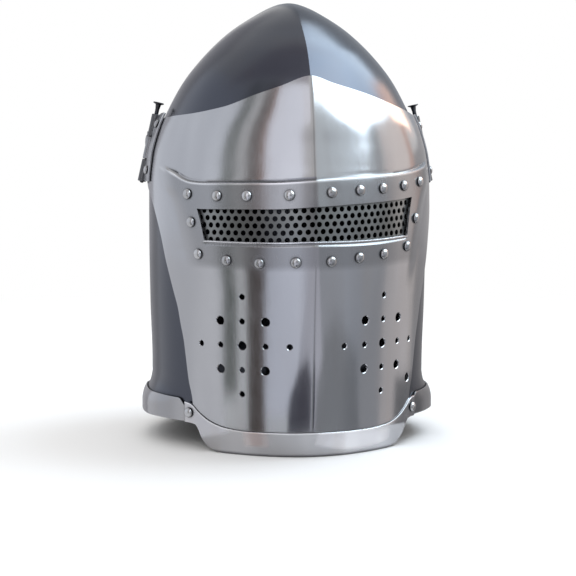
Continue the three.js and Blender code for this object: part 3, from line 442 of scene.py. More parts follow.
class Bench:
    """The modelling steps that the sub-assemblies share."""

    @staticmethod
    def pick(piece: Piece) -> None:
        """Makes a piece the only one selected, and active.

        Args:
            piece: The piece.
        """
        bpy.ops.object.select_all(action="DESELECT")
        piece.select_set(True)
        bpy.context.view_layer.objects.active = piece

    @classmethod
    def started(cls, name: str) -> Piece:
        """Names the primitive just added and returns it.

        Args:
            name: The piece's name.

        Returns:
            The new object, alone selected.
        """
        piece = bpy.context.object
        piece.name = name
        piece.data.name = name
        cls.pick(piece)
        return piece

    @staticmethod
    @contextmanager
    def editing() -> Iterator[None]:
        """Holds the picked piece in edit mode, with the whole of it selected at the start."""
        bpy.ops.object.mode_set(mode="EDIT")
        bpy.ops.mesh.select_all(action="SELECT")
        yield
        bpy.ops.object.mode_set(mode="OBJECT")

    @staticmethod
    def points(piece: Piece) -> Array:
        """Reads where a piece's vertices are.

        Args:
            piece: The piece.

        Returns:
            Their places, one row each.
        """
        places = np.empty(len(piece.data.vertices) * 3)
        piece.data.vertices.foreach_get("co", places)
        return places.reshape(-1, 3)

    @staticmethod
    def move(piece: Piece, places: Array) -> None:
        """Puts a piece's vertices at new places."""
        piece.data.vertices.foreach_set("co", np.ascontiguousarray(places, float).ravel())
        piece.data.update()

    @classmethod
    def modify(cls, piece: Piece, kind: str, **settings: object) -> None:
        """Adds one modifier and applies it.

        Args:
            piece: The piece that it shapes.
            kind: The modifier's type.
            **settings: Its settings.
        """
        cls.pick(piece)
        modifier = piece.modifiers.new(kind.lower(), kind)
        for name, value in settings.items():
            setattr(modifier, name, value)
        bpy.ops.object.modifier_apply(modifier=modifier.name)

    @classmethod
    def tidy(cls, piece: Piece, outward: bool = True) -> None:
        """Merges vertices that meet and may turn the faces outwards.

        Args:
            piece: The piece.
            outward: Whether the faces are turned outwards too.
        """
        cls.pick(piece)
        with cls.editing():
            bpy.ops.mesh.remove_doubles(threshold=MERGE)
            if outward:
                bpy.ops.mesh.normals_make_consistent(inside=False)

    @classmethod
    def smooth(cls, piece: Piece, degrees: float = 32) -> Piece:
        """Shades a piece smooth except over its corners.

        Args:
            piece: The piece.
            degrees: The least angle of a corner.

        Returns:
            The piece.
        """
        cls.pick(piece)
        bpy.ops.object.shade_smooth_by_angle(angle=math.radians(degrees))
        return piece

    @classmethod
    def round_edges(cls, piece: Piece, width: float, segments: int = 2, degrees: float = 50) -> None:
        """Rounds the edges of a piece that are sharper than an angle."""
        cls.modify(
            piece, "BEVEL", width=width, segments=segments, limit_method="ANGLE",
            angle_limit=math.radians(degrees), use_clamp_overlap=True,
        )

    @classmethod
    def bent(
        cls,
        name: str,
        size: tuple[int, int],
        place: Callable[[Array, Array], Array],
        wall: float,
        drop_face: Callable[[Array, Array], Array] | None = None,
    ) -> Piece:
        """A sheet that is laid out flat, pierced, bent to a surface and given its wall inwards.

        Args:
            name: The piece's name.
            size: Faces along the sheet and up it.
            place: Takes columns and rows, counted from 0, to points.
            wall: Thickness.
            drop_face: Takes the columns and rows of face centres, and says which are cut out.

        Returns:
            The sheet, with its wall.
        """
        columns, rows = size
        bpy.ops.mesh.primitive_grid_add(x_subdivisions=columns, y_subdivisions=rows, size=1)
        sheet = cls.started(name)
        if drop_face:
            middles = np.array([face.center for face in sheet.data.polygons]) + 0.5
            gone = drop_face(middles[:, 0] * columns, middles[:, 1] * rows)
            sheet.data.polygons.foreach_set("select", gone)
            sheet.data.vertices.foreach_set("select", np.zeros(len(sheet.data.vertices), bool))
            sheet.data.edges.foreach_set("select", np.zeros(len(sheet.data.edges), bool))
            bpy.ops.object.mode_set(mode="EDIT")
            bpy.ops.mesh.select_mode(type="FACE")
            bpy.ops.mesh.delete(type="FACE")
            bpy.ops.mesh.select_mode(type="VERT")
            bpy.ops.object.mode_set(mode="OBJECT")
        flat = cls.points(sheet) + 0.5
        cls.move(sheet, place(np.round(flat[:, 0] * columns), np.round(flat[:, 1] * rows)))
        cls.tidy(sheet, outward=False)
        cls.modify(
            sheet, "SOLIDIFY", thickness=wall, offset=-1, use_even_offset=True, use_quality_normals=True,
        )
        return sheet

    @classmethod
    def spun(cls, name: str, profile: Rows, steps: int = 28) -> Piece:
        """A round body about Z from a profile of radius and height.

        Args:
            name: The piece's name.
            profile: Corners from one end of the axis to the other, or a closed ring off the axis.
            steps: Faces round it.

        Returns:
            The body, with its faces outwards.
        """
        bpy.ops.mesh.primitive_circle_add(vertices=len(profile), radius=1)
        body = cls.started(name)
        cls.move(body, np.array([(radius, 0, height) for radius, height in profile]))
        with cls.editing():
            bpy.ops.mesh.spin(steps=steps, angle=FULL_TURN, center=(0, 0, 0), axis=(0, 0, 1))
            bpy.ops.mesh.select_all(action="SELECT")
            bpy.ops.mesh.remove_doubles(threshold=MERGE)
            bpy.ops.mesh.dissolve_degenerate(threshold=THIN)
            bpy.ops.mesh.delete_loose(use_verts=True, use_edges=True, use_faces=False)
            bpy.ops.mesh.select_all(action="SELECT")
            bpy.ops.mesh.normals_make_consistent(inside=False)
        return body

    @classmethod
    def prism(cls, name: str, outline: Sequence[Vector], along: Vector) -> Piece:
        """A flat outline drawn out into a solid.

        Args:
            name: The piece's name.
            outline: Corners in order.
            along: How far and which way it is drawn out.

        Returns:
            The solid.
        """
        bpy.ops.mesh.primitive_circle_add(vertices=len(outline), radius=1, fill_type="NGON")
        solid = cls.started(name)
        cls.move(solid, np.array(outline))
        with cls.editing():
            bpy.ops.mesh.extrude_region_move(TRANSFORM_OT_translate={"value": along})
            bpy.ops.mesh.select_all(action="SELECT")
            bpy.ops.mesh.normals_make_consistent(inside=False)
        return solid

    @classmethod
    def copies(cls, model: Piece, seats: Iterable[tuple[str, Matrix]]) -> list[Piece]:
        """Copies of a model, each with its own mesh and its place in it. The model is used up.

        Args:
            model: The finished model, upright at the origin.
            seats: Names and places.

        Returns:
            The copies.
        """
        made = []
        for name, matrix in seats:
            twin = model.copy()
            twin.data = model.data.copy()
            twin.name = name
            twin.data.name = name
            bpy.context.scene.collection.objects.link(twin)
            twin.matrix_world = matrix
            cls.pick(twin)
            bpy.ops.object.transform_apply(location=True, rotation=True, scale=True)
            made.append(twin)
        bpy.data.objects.remove(model)
        return made

    @classmethod
    def placed(cls, model: Piece, name: str, matrix: Matrix) -> Piece:
        """Puts a model in its one place and names it."""
        return cls.copies(model, [(name, matrix)])[0]

    @classmethod
    def joined(cls, pieces: Sequence[Piece], name: str) -> Piece:
        """Joins pieces into one object.

        Args:
            pieces: What is joined.
            name: The name of the whole.

        Returns:
            The whole.
        """
        cls.pick(pieces[0])
        for piece in pieces:
            piece.select_set(True)
        bpy.ops.object.join()
        whole = bpy.context.object
        whole.name = name
        whole.data.name = name
        return whole

    @classmethod
    def combine(cls, piece: Piece, tool: Piece, how: str) -> None:
        """Cuts a piece with a tool, or unites the two. The tool is used up."""
        cls.modify(piece, "BOOLEAN", operation=how, solver="EXACT", object=tool)
        bpy.data.objects.remove(tool)

    @classmethod
    def from_node(cls, node: str, name: str) -> Piece:
        """A merged copy of a CAD node, to be finished as a piece.

        Args:
            node: The node's name.
            name: The piece's name.

        Returns:
            The copy, its flat faces made whole.
        """
        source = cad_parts[node]
        twin = bpy.data.objects.new(name, source.data.copy())
        bpy.context.scene.collection.objects.link(twin)
        twin.data.materials.clear()
        cls.tidy(twin)
        with cls.editing():
            bpy.ops.mesh.dissolve_limited(angle_limit=LEVEL)
        return twin

    @staticmethod
    def mark(piece: Piece, name: str, amount: Array) -> None:
        """Keeps an amount at each vertex, held between 0 and 1, for the finish to read."""
        marks = piece.data.attributes.new(name, "FLOAT", "POINT")
        marks.data.foreach_set("value", np.clip(amount, 0, 1))

    @staticmethod
    def fit(piece: Piece, body: Body, slot: Slot, finish: bpy.types.Material, *nodes: str) -> None:
        """Gives a finished piece its body and its material, and hides the nodes that it stands for.

        Args:
            piece: The piece.
            body: The body that it rides on.
            slot: Its material slot in the record. It is not used.
            finish: Its material.
            *nodes: The CAD nodes that it replaces.
        """
        piece.data.materials.clear()
        piece.data.materials.append(finish)
        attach(piece, body.value)
        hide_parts(*nodes)
        LOG.info("%s: %d faces", piece.name, len(piece.data.polygons))


# Shader maths


class Socket:
    """An output socket whose operators add Math nodes."""

    def __init__(self, tree: "Tree", source: bpy.types.NodeSocket) -> None:
        """Wraps a node's output."""
        self.tree = tree
        self.source = source

    def __add__(self, other: "Socket | float") -> "Socket":
        """Sum."""
        return self.tree.math("ADD", self, other)

    def __sub__(self, other: "Socket | float") -> "Socket":
        """Difference."""
        return self.tree.math("SUBTRACT", self, other)

    def __mul__(self, other: "Socket | float") -> "Socket":
        """Product."""
        return self.tree.math("MULTIPLY", self, other)

    def __radd__(self, other: float) -> "Socket":
        """Sum with a number in front."""
        return self.tree.math("ADD", other, self)

    def __rsub__(self, other: float) -> "Socket":
        """Difference with a number in front."""
        return self.tree.math("SUBTRACT", other, self)

    def __rmul__(self, other: float) -> "Socket":
        """Product with a number in front."""
        return self.tree.math("MULTIPLY", other, self)


class Tree:
    """A node tree that is wired with expressions."""

    def __init__(self, nodes: bpy.types.NodeTree) -> None:
        """Empties the tree."""
        self.nodes = nodes
        self.nodes.nodes.clear()

    def node(self, kind: str, settings: dict | None = None, inputs: dict | None = None) -> bpy.types.Node:
        """Adds a node.

        Args:
            kind: Its type.
            settings: Its own settings, set first.
            inputs: Values or links of its sockets, by name or number.

        Returns:
            The node.
        """
        made = self.nodes.nodes.new(kind)
        for name, value in (settings or {}).items():
            setattr(made, name, value)
        for name, value in (inputs or {}).items():
            if isinstance(value, Socket):
                self.nodes.links.new(value.source, made.inputs[name])
            else:
                made.inputs[name].default_value = value
        return made

    def out(
        self, kind: str, settings: dict | None = None, inputs: dict | None = None, output: int | str = 0
    ) -> Socket:
        """Adds a node, as above, and takes one of its outputs."""
        return Socket(self, self.node(kind, settings, inputs).outputs[output])

    def math(self, operation: str, first: Socket | float, second: Socket | float = 0) -> Socket:
        """A Math node of two terms."""
        return self.out("ShaderNodeMath", {"operation": operation}, {0: first, 1: second})

    def blend(self, share: Socket | float, low: Socket | tuple, high: Socket | tuple) -> Socket:
        """Two colours mixed.

        Args:
            share: Share of the second.
            low: The first colour.
            high: The second colour.

        Returns:
            The mixed colour.
        """
        tones = {6: low, 7: high}
        given = {number: tone if isinstance(tone, Socket) else (*tone, 1) for number, tone in tones.items()}
        return self.out("ShaderNodeMix", {"data_type": "RGBA"}, {0: share, **given}, 2)

    def place(self, stretch: Stretch = (1, 1, 1)) -> Socket:
        """Object coordinates; a factor under 1 draws a pattern out along its axis."""
        bare = self.out("ShaderNodeTexCoord", output="Object")
        return self.out("ShaderNodeMapping", {}, {"Vector": bare, "Scale": stretch})

    def noise(
        self, scale: float, stretch: Stretch = (1, 1, 1), detail: float = 3, twist: float = 0
    ) -> Socket:
        """Soft noise about one half. Its scale is in waves to the metre, and twist distorts it."""
        return self.out("ShaderNodeTexNoise", {}, {
            "Vector": self.place(stretch), "Scale": scale, "Detail": detail, "Distortion": twist,
        })

    def step(self, value: Socket, low: float, high: float) -> Socket:
        """A value eased from 0 at one level to 1 at another."""
        return self.out(
            "ShaderNodeMapRange", {"interpolation_type": "SMOOTHSTEP"},
            {"Value": value, "From Min": low, "From Max": high},
        )

    def near(self, distance: float) -> Socket:
        """How open a place is, from 0 in a corner to 1 in the open, within a distance."""
        return self.out("ShaderNodeAmbientOcclusion", {"samples": 8}, {"Distance": distance}, "AO")

    def marked(self, name: str) -> Socket:
        """The amount of a mark at each place, from 0 to 1."""
        return self.out("ShaderNodeAttribute", {"attribute_name": name}, output="Fac")

    def bumped(self, height: Socket, depth: float, under: Socket | None = None) -> Socket:
        """A normal that follows a height.

        Args:
            height: The height, from 0 to 1.
            depth: What 1 is in metres.
            under: A normal that it adds to.

        Returns:
            The normal.
        """
        inputs = {"Height": height, "Strength": 1, "Distance": depth}
        if under:
            inputs["Normal"] = under
        return self.out("ShaderNodeBump", {}, inputs)


def material(name: str) -> tuple[bpy.types.Material, Tree]:
    """A new material with an empty tree.

    Args:
        name: Its name.

    Returns:
        The material and its tree.
    """
    made = bpy.data.materials.new(name)
    made.use_nodes = True
    return made, Tree(made.node_tree)


def dimmed(tone: Tone, share: float) -> Tone:
    """A share of a tone's light."""
    return tuple(part * share for part in tone)


def surface(tree: Tree, inputs: dict) -> None:
    """Ends a material's tree in a Principled shader."""
    shader = tree.out("ShaderNodeBsdfPrincipled", {}, inputs)
    tree.node("ShaderNodeOutputMaterial", {}, {"Surface": shader})


@dataclass(frozen=True)
class Steel:
    """Worked steel: soft upright bands and stains of tone, which partly paint reflected streaks, fine rubbing
    marks, and painted shade in corners and where plates meet.
    """

    name: str
    light: Tone
    dark: Tone
    stain_and_reflection: Tone
    roughness: float
    band_scale: float = 16
    band_stretch: Stretch = (1, 1, 0.12)
    band_low: float = 0.38
    band_high: float = 0.64
    stain_and_reflection_share: float = 0.25
    stain_and_reflection_finer: float = 1.7
    rub_scale: float = 700
    rub_stretch: Stretch = (1, 1, 0.06)
    rub_depth: float = 0.012 * MM
    wave_scale: float = 11
    wave_stretch: Stretch = (1, 1, 0.7)
    wave_depth: float = 0.6 * MM
    painted_shade_reach: float = 3 * MM
    painted_shade_share: float = 0.7
    mark: str = ""
    mark_share: float = 0.5
    mark_rough: float = 0.08
    mark_light: float = 0.3
    wear_and_highlight: str = ""
    wear_and_highlight_tone: Tone = (0.8, 0.8, 0.82)
    mottle_share: float = 0.26
    painted_shade_light: float = 0.12
    dirt_rough: float = 0.2
    rough_spread: float = 0.08

    def make(self) -> bpy.types.Material:
        """Builds the material.

        Returns:
            The material.
        """
        made, tree = material(self.name)
        # Upright bands of light and dark tone, with brownish stains over them: partly random tone of the
        # steel, partly painted reflection of the streaks that the surroundings throw on polish.
        clouds = tree.noise(self.band_scale, self.band_stretch, detail=2)
        tone = tree.blend(tree.step(clouds, self.band_low, self.band_high), self.dark, self.light)
        stains_and_reflections = tree.noise(self.band_scale * self.stain_and_reflection_finer, self.band_stretch, detail=4, twist=0.4)
        tone = tree.blend(tree.step(stains_and_reflections, low=0.5, high=0.72) * self.stain_and_reflection_share, tone, self.stain_and_reflection)
        mottle = tree.noise(scale=60, detail=5)
        tone = tree.blend(mottle * self.mottle_share, tone, self.dark)
        # Painted shade: the tone is darkened towards a dim share of the dark tone wherever ambient occlusion
        # finds a corner, a seam or the foot of a rivet.
        closed = 1 - tree.step(tree.near(self.painted_shade_reach), low=0.45, high=1)
        tone = tree.blend(closed * self.painted_shade_share, tone, dimmed(self.dark, self.painted_shade_light))
        rubbing = tree.noise(self.rub_scale, self.rub_stretch, detail=2)
        uneven = (mottle - 0.5) * self.rough_spread + (rubbing - 0.5) * self.rough_spread
        rough = self.roughness + uneven + closed * self.dirt_rough
        if self.mark:
            marked = tree.marked(self.mark)
            tone = tree.blend(marked * self.mark_share, tone, dimmed(self.dark, self.mark_light))
            rough = rough + marked * self.mark_rough
        # Painted highlight and wear: marked edges are lightened towards a bright tone.
        if self.wear_and_highlight:
            tone = tree.blend(tree.marked(self.wear_and_highlight), tone, self.wear_and_highlight_tone)
        waves = tree.bumped(tree.noise(self.wave_scale, self.wave_stretch, detail=1), self.wave_depth)
        normal = tree.bumped(rubbing, self.rub_depth, waves)
        surface(tree, {"Base Color": tone, "Roughness": rough, "Normal": normal, "Metallic": 1})
        return made


@dataclass(frozen=True)
class Hide:
    """Vegetable-tanned leather with pores and creases."""

    name: str
    light: Tone = (0.19, 0.095, 0.042)
    dark: Tone = (0.075, 0.034, 0.015)
    roughness: float = 0.62
    pore_scale: float = 520
    pore_share: float = 0.45
    pore_depth: float = 0.08 * MM
    crease_depth: float = 0.25 * MM
    crease_rough: float = 0.25
    painted_shade_reach: float = 4 * MM
    painted_shade_share: float = 0.6
    painted_shade_light: float = 0.4

    def make(self) -> bpy.types.Material:
        """Builds the material.

        Returns:
            The material.
        """
        made, tree = material(self.name)
        cloud = tree.step(tree.noise(scale=28, detail=5), low=0.32, high=0.7)
        pores = tree.out(
            "ShaderNodeTexVoronoi", {"feature": "DISTANCE_TO_EDGE"},
            {"Vector": tree.place(), "Scale": self.pore_scale},
        )
        grain = tree.step(pores, low=0.0, high=0.12)
        tone = tree.blend(cloud, self.dark, self.light)
        tone = tree.blend((1 - grain) * self.pore_share, tone, self.dark)
        creases = tree.noise(scale=140, detail=6, twist=1.2)
        # Painted shade: the leather is darkened where ambient occlusion finds corners and folds.
        closed = 1 - tree.step(tree.near(self.painted_shade_reach), low=0.4, high=1)
        tone = tree.blend(closed * self.painted_shade_share, tone, dimmed(self.dark, self.painted_shade_light))
        rough = self.roughness + (creases - 0.5) * self.crease_rough
        normal = tree.bumped(grain, self.pore_depth, tree.bumped(creases, self.crease_depth))
        surface(tree, {"Base Color": tone, "Roughness": rough, "Normal": normal})
        return made


class Finishes:
    """The finishes, each made once."""

    def __init__(self) -> None:
        """Makes the materials."""
        # The visor's marks paint shade over the belt round the sight and down the keel, and paint highlights,
        # with wear, along its lips, crest and hole rims.
        self.visor = Steel(
            "satin_visor_steel", (0.425, 0.43, 0.447), (0.335, 0.34, 0.357), (0.34, 0.30, 0.275), 0.17,
            painted_shade_share=0.7, wave_depth=0.35 * MM, mark="dulled_and_painted_shade", mark_share=0.4, wear_and_highlight="wear_and_highlight",
        ).make()
        self.band = Steel(
            "bright_band_steel", (0.37, 0.37, 0.38), (0.27, 0.272, 0.285), (0.3, 0.27, 0.25), 0.19,
            band_scale=22, wave_scale=24, wave_depth=0.3 * MM, painted_shade_share=0.85, painted_shade_reach=4 * MM,
            mark="shaded_cut_edge", mark_share=0.85,
        ).make()
        # The chin band's marks paint shade at its tab ends, and a highlight with wear along its top edge.
        self.chin = Steel(
            "bright_chin_steel", (0.55, 0.55, 0.57), (0.42, 0.42, 0.44), (0.42, 0.38, 0.35), 0.23,
            band_scale=22, wave_scale=24, wave_depth=0.3 * MM, painted_shade_share=0.85, painted_shade_reach=3 * MM,
            mark="shaded_cut_edge", mark_share=0.85, wear_and_highlight="wear_and_highlight",
        ).make()
        # The rivets' painted shade darkens a ring round each foot.
        self.rivet = Steel(
            "polished_rivet_steel", (0.44, 0.442, 0.45), (0.3, 0.302, 0.31), (0.3, 0.27, 0.25), 0.2,
            band_scale=60, wave_depth=0.05 * MM, painted_shade_reach=3 * MM, painted_shade_share=0.95,
        ).make()
        self.grille = Steel(
            "perforated_sheet_steel", (0.25, 0.26, 0.26), (0.12, 0.125, 0.125), (0.14, 0.125, 0.11), 0.32,
            painted_shade_share=0.3, wave_depth=0.2 * MM,
        ).make()
        self.skull = Steel(
            "blackened_skull_steel", (0.096, 0.104, 0.126), (0.065, 0.07, 0.086), (0.08, 0.07, 0.07), 0.24,
            band_scale=8, band_stretch=(1, 1, 0.4), rub_depth=0.006 * MM, wave_scale=9, wave_depth=0.35 * MM,
        ).make()
        self.forged = Steel(
            "forged_dark_steel", (0.105, 0.108, 0.118), (0.04, 0.041, 0.046), (0.07, 0.055, 0.045), 0.38,
            band_scale=70, band_stretch=(1, 1, 1), wave_scale=130, wave_depth=0.25 * MM, painted_shade_reach=1.5 * MM,
        ).make()
        hinge = Steel(
            "worn_hinge_steel", (0.27, 0.272, 0.285), (0.17, 0.172, 0.18), (0.15, 0.125, 0.105), 0.32,
            band_scale=70, band_stretch=(1, 1, 1), wave_scale=130, wave_depth=0.2 * MM, painted_shade_reach=1.5 * MM,
            painted_shade_share=0.5, mark="rolled", mark_share=1.0,
        )
        self.hinge = hinge.make()
        self.leaf = replace(
            hinge, name="rubbed_leaf_steel", light=(0.5, 0.505, 0.52), dark=(0.36, 0.365, 0.38),
        ).make()
        self.brass = Steel(
            "cast_brass", (0.60, 0.42, 0.15), (0.33, 0.20, 0.06), (0.18, 0.12, 0.05), 0.3,
            band_scale=80, band_stretch=(1, 1, 1), wave_scale=160, wave_depth=0.2 * MM, painted_shade_reach=1.5 * MM,
        ).make()
        self.leather = Hide("brown_liner_leather").make()
        self.strap = Hide(
            "brown_strap_leather", (0.15, 0.07, 0.03), (0.06, 0.027, 0.012), 0.5,
        ).make()


# Sub-assemblies


@dataclass(frozen=True)
class RivetSize:
    """One kind of rivet. The head sits on its seat and the tail closes the shank inside."""

    head: float
    rise: float
    shank: float
    tail: float
    tail_rise: float
    dome_steps: int = 7
    foot_share: float = 0.16
    seat_share: float = 0.97
    tail_edge: float = 0.5
    tail_top: float = 0.7

    def model(self, grip: float) -> Piece:
        """Models the rivet upright, with its seat at the origin.

        Args:
            grip: Length of the shank under the head.

        Returns:
            The model.
        """
        foot = self.rise * self.foot_share
        profile = [(0.0, self.rise)]
        for step in range(1, self.dome_steps + 1):
            angle = QUARTER_TURN * step / self.dome_steps
            profile.append((self.head * math.sin(angle), foot + (self.rise - foot) * math.cos(angle)))
        profile += [(self.head * self.seat_share, 0.0), (self.shank, 0.0), (self.shank, -grip)]
        if self.tail:
            profile += [
                (self.tail, -grip), (self.tail, -grip - self.tail_rise * self.tail_edge),
                (self.tail * self.tail_top, -grip - self.tail_rise), (0.0, -grip - self.tail_rise),
            ]
        else:
            profile.append((0.0, -grip))
        return Bench.smooth(Bench.spun("rivet", profile), degrees=40)


@dataclass
class Skull:
    """The skull with its bands and their rivets."""

    form: Form
    finishes: Finishes
    columns: int = 216
    rows: int = 150
    rim_lap: float = 1 * MM
    top_crowding: float = 1.5
    opening_top: float = 0.68
    opening_side: float = 0.9
    opening_depth: float = 0.2
    opening_rows: Curve = Curve([
        (-0.1, 0.7), (0.16, 0.74), (0.25, 0.765), (0.41, 0.835), (0.6, 0.925), (0.75, 0.975), (0.83, 0.97),
        (0.89, 0.9), (0.935, 0.76), (0.97, 0.52), (0.99, 0.26), (1, 0),
    ])
    opening_steps: int = 40
    edge_round: float = 0.4 * MM
    band_columns: int = 240
    chin_columns: int = 200
    band_rows: int = 14
    band_wall: float = 1.5 * MM
    band_turn: float = 0.52
    band_reach: float = 0.6
    chin_wall: float = 1.6 * MM
    chin_turn: float = 0.585
    shaded_cut_edge: float = 1.1 * MM
    band_rivet: RivetSize = RivetSize(3.8 * MM, 2.6 * MM, 1.5 * MM, 2.5 * MM, 1 * MM)
    nape_rivet: RivetSize = RivetSize(3.8 * MM, 2.4 * MM, 1.5 * MM, 2.5 * MM, 1 * MM)
    tab_rivet_turn: float = 0.556
    tab_rivet_share: float = 0.53
    nape_rivet_share: float = 0.3

    def build(self) -> None:
        """Builds every piece of the skull."""
        self.build_shell()
        self.build_rim_band()
        self.build_chin_band()
        self.build_rivets()

    def build_shell(self) -> None:
        """The one-piece skull with its face opening."""
        form = self.form

        def place(column: Array, row: Array) -> Array:
            """A point of the shell.

            Args:
                column: Columns round it, from the back.
                row: Rows from the foot.

            Returns:
                Points.
            """
            turn = (column / self.columns * 2 - 1) * ALL_ROUND
            foot = form.rim_line(turn) + self.rim_lap
            share = 1 - (1 - row / self.rows) ** self.top_crowding
            return form.skull(turn, foot + (form.height - foot) * share)

        shell = Bench.bent("skull_plate", (self.columns, self.rows), place, form.skull_wall)
        heights = np.linspace(self.opening_rows.places[0], 1, self.opening_steps)
        across = self.opening_rows(heights) * form.half_width * self.opening_side
        rise = heights * form.height * self.opening_top
        near = -form.face_reach * self.opening_depth
        half = [Vector((x, near, z)) for x, z in zip(across, rise)]
        mirrored = [Vector((-point.x, point.y, point.z)) for point in half[-2::-1]]
        tool = Bench.prism("opening", half + mirrored, Vector((0, -form.face_reach, 0)))
        Bench.combine(shell, tool, "DIFFERENCE")
        Bench.smooth(shell, degrees=14)
        Bench.fit(shell, Body.HELMET, Slot.BLACKENED, self.finishes.skull, "skull_shell")

    def build_rim_band(self) -> None:
        """The bright flared band round the back of the rim."""
        form = self.form
        columns, rows = self.band_columns, self.band_rows

        def place(column: Array, row: Array) -> Array:
            """A point of the band.

            Args:
                column: Columns from the wearer's left end.
                row: Rows from the foot.

            Returns:
                Points.
            """
            turn = self.band_turn + 2 * (ALL_ROUND - self.band_turn) * column / columns
            reach = form.flare_height * form.band_top(form.plain_turn(turn)) * self.band_reach
            height = form.rim_line(turn) + reach * row / rows
            points, _ = form.lifted(form.skull, turn, height, form.fit_gap + self.band_wall)
            return points

        band = Bench.bent("rim_band", (columns, rows), place, self.band_wall)
        self.stand(band)
        Bench.round_edges(band, self.edge_round)
        Bench.smooth(band, degrees=30)
        Bench.fit(band, Body.HELMET, Slot.BRIGHT, self.finishes.band, "rear_rim_band")

    @staticmethod
    def stand(piece: Piece) -> None:
        """Keeps a band's lower edge on the ground.

        Args:
            piece: The band.
        """
        places = Bench.points(piece)
        places[:, 2] = np.maximum(places[:, 2], 0)
        Bench.move(piece, places)

    def build_chin_band(self) -> None:
        """The bright band under the visor, with its tabs."""
        form = self.form
        columns, rows = self.chin_columns, self.band_rows

        def place(column: Array, row: Array) -> Array:
            """A point of the band.

            Args:
                column: Columns from the wearer's right end.
                row: Rows from the foot.

            Returns:
                Points.
            """
            turn = (column / columns * 2 - 1) * self.chin_turn
            foot, top = form.chin_foot(turn), form.chin_top(turn)
            return form.chin(turn, foot + (top - foot) * row / rows)

        band = Bench.bent("chin_band", (columns, rows), place, self.chin_wall)
        self.stand(band)
        Bench.round_edges(band, self.edge_round)
        Bench.smooth(band, degrees=14)
        x, _, height = Bench.points(band).T
        across = form.half_width * form.side(height / form.height) + form.visor_standoff + form.chin_proud
        turn = np.arcsin(np.clip(np.abs(x) / across, 0, 1)) / QUARTER_TURN
        from_end = (turn.max() - turn) * QUARTER_TURN * form.half_width
        # Painted shade: the tab's cut end is darkened, standing for the shadow line where it laps the rear
        # band.
        Bench.mark(band, "shaded_cut_edge", 1 - from_end / self.shaded_cut_edge)
        # Painted highlight and wear: the band's top edge is lightened.
        Bench.mark(band, "wear_and_highlight", 1 - (form.chin_top(turn) - height) / self.shaded_cut_edge)
        Bench.fit(band, Body.HELMET, Slot.BRIGHT, self.finishes.chin, "front_chin_band")

    def build_rivets(self) -> None:
        """The rivets of the tabs and the one at the nape."""
        form = self.form
        standoff = form.visor_standoff + form.chin_proud + form.fit_gap
        foot, top = float(form.chin_foot(self.tab_rivet_turn)), float(form.chin_top(self.tab_rivet_turn))
        height = foot + (top - foot) * self.tab_rivet_share
        model = self.band_rivet.model(standoff + form.skull_wall + form.tail_gap)
        seats = [
            (
                f"tab_stud_{side.word}",
                Seat.on(form, form.skull, side.value * self.tab_rivet_turn, height, standoff).matrix(),
            )
            for side in Side
        ]
        for side, piece in zip(Side, Bench.copies(model, seats)):
            Bench.fit(piece, Body.HELMET, Slot.BRIGHT, self.finishes.rivet, f"tab_rivet_{side.word}")
        lift = form.fit_gap * 2 + self.band_wall
        seat = Seat.on(form, form.skull, ALL_ROUND, form.flare_height * self.nape_rivet_share, lift)
        model = self.nape_rivet.model(lift + form.skull_wall + form.tail_gap)
        piece = Bench.placed(model, "nape_stud", seat.matrix())
        Bench.fit(piece, Body.HELMET, Slot.BRIGHT, self.finishes.rivet, "nape_rivet")


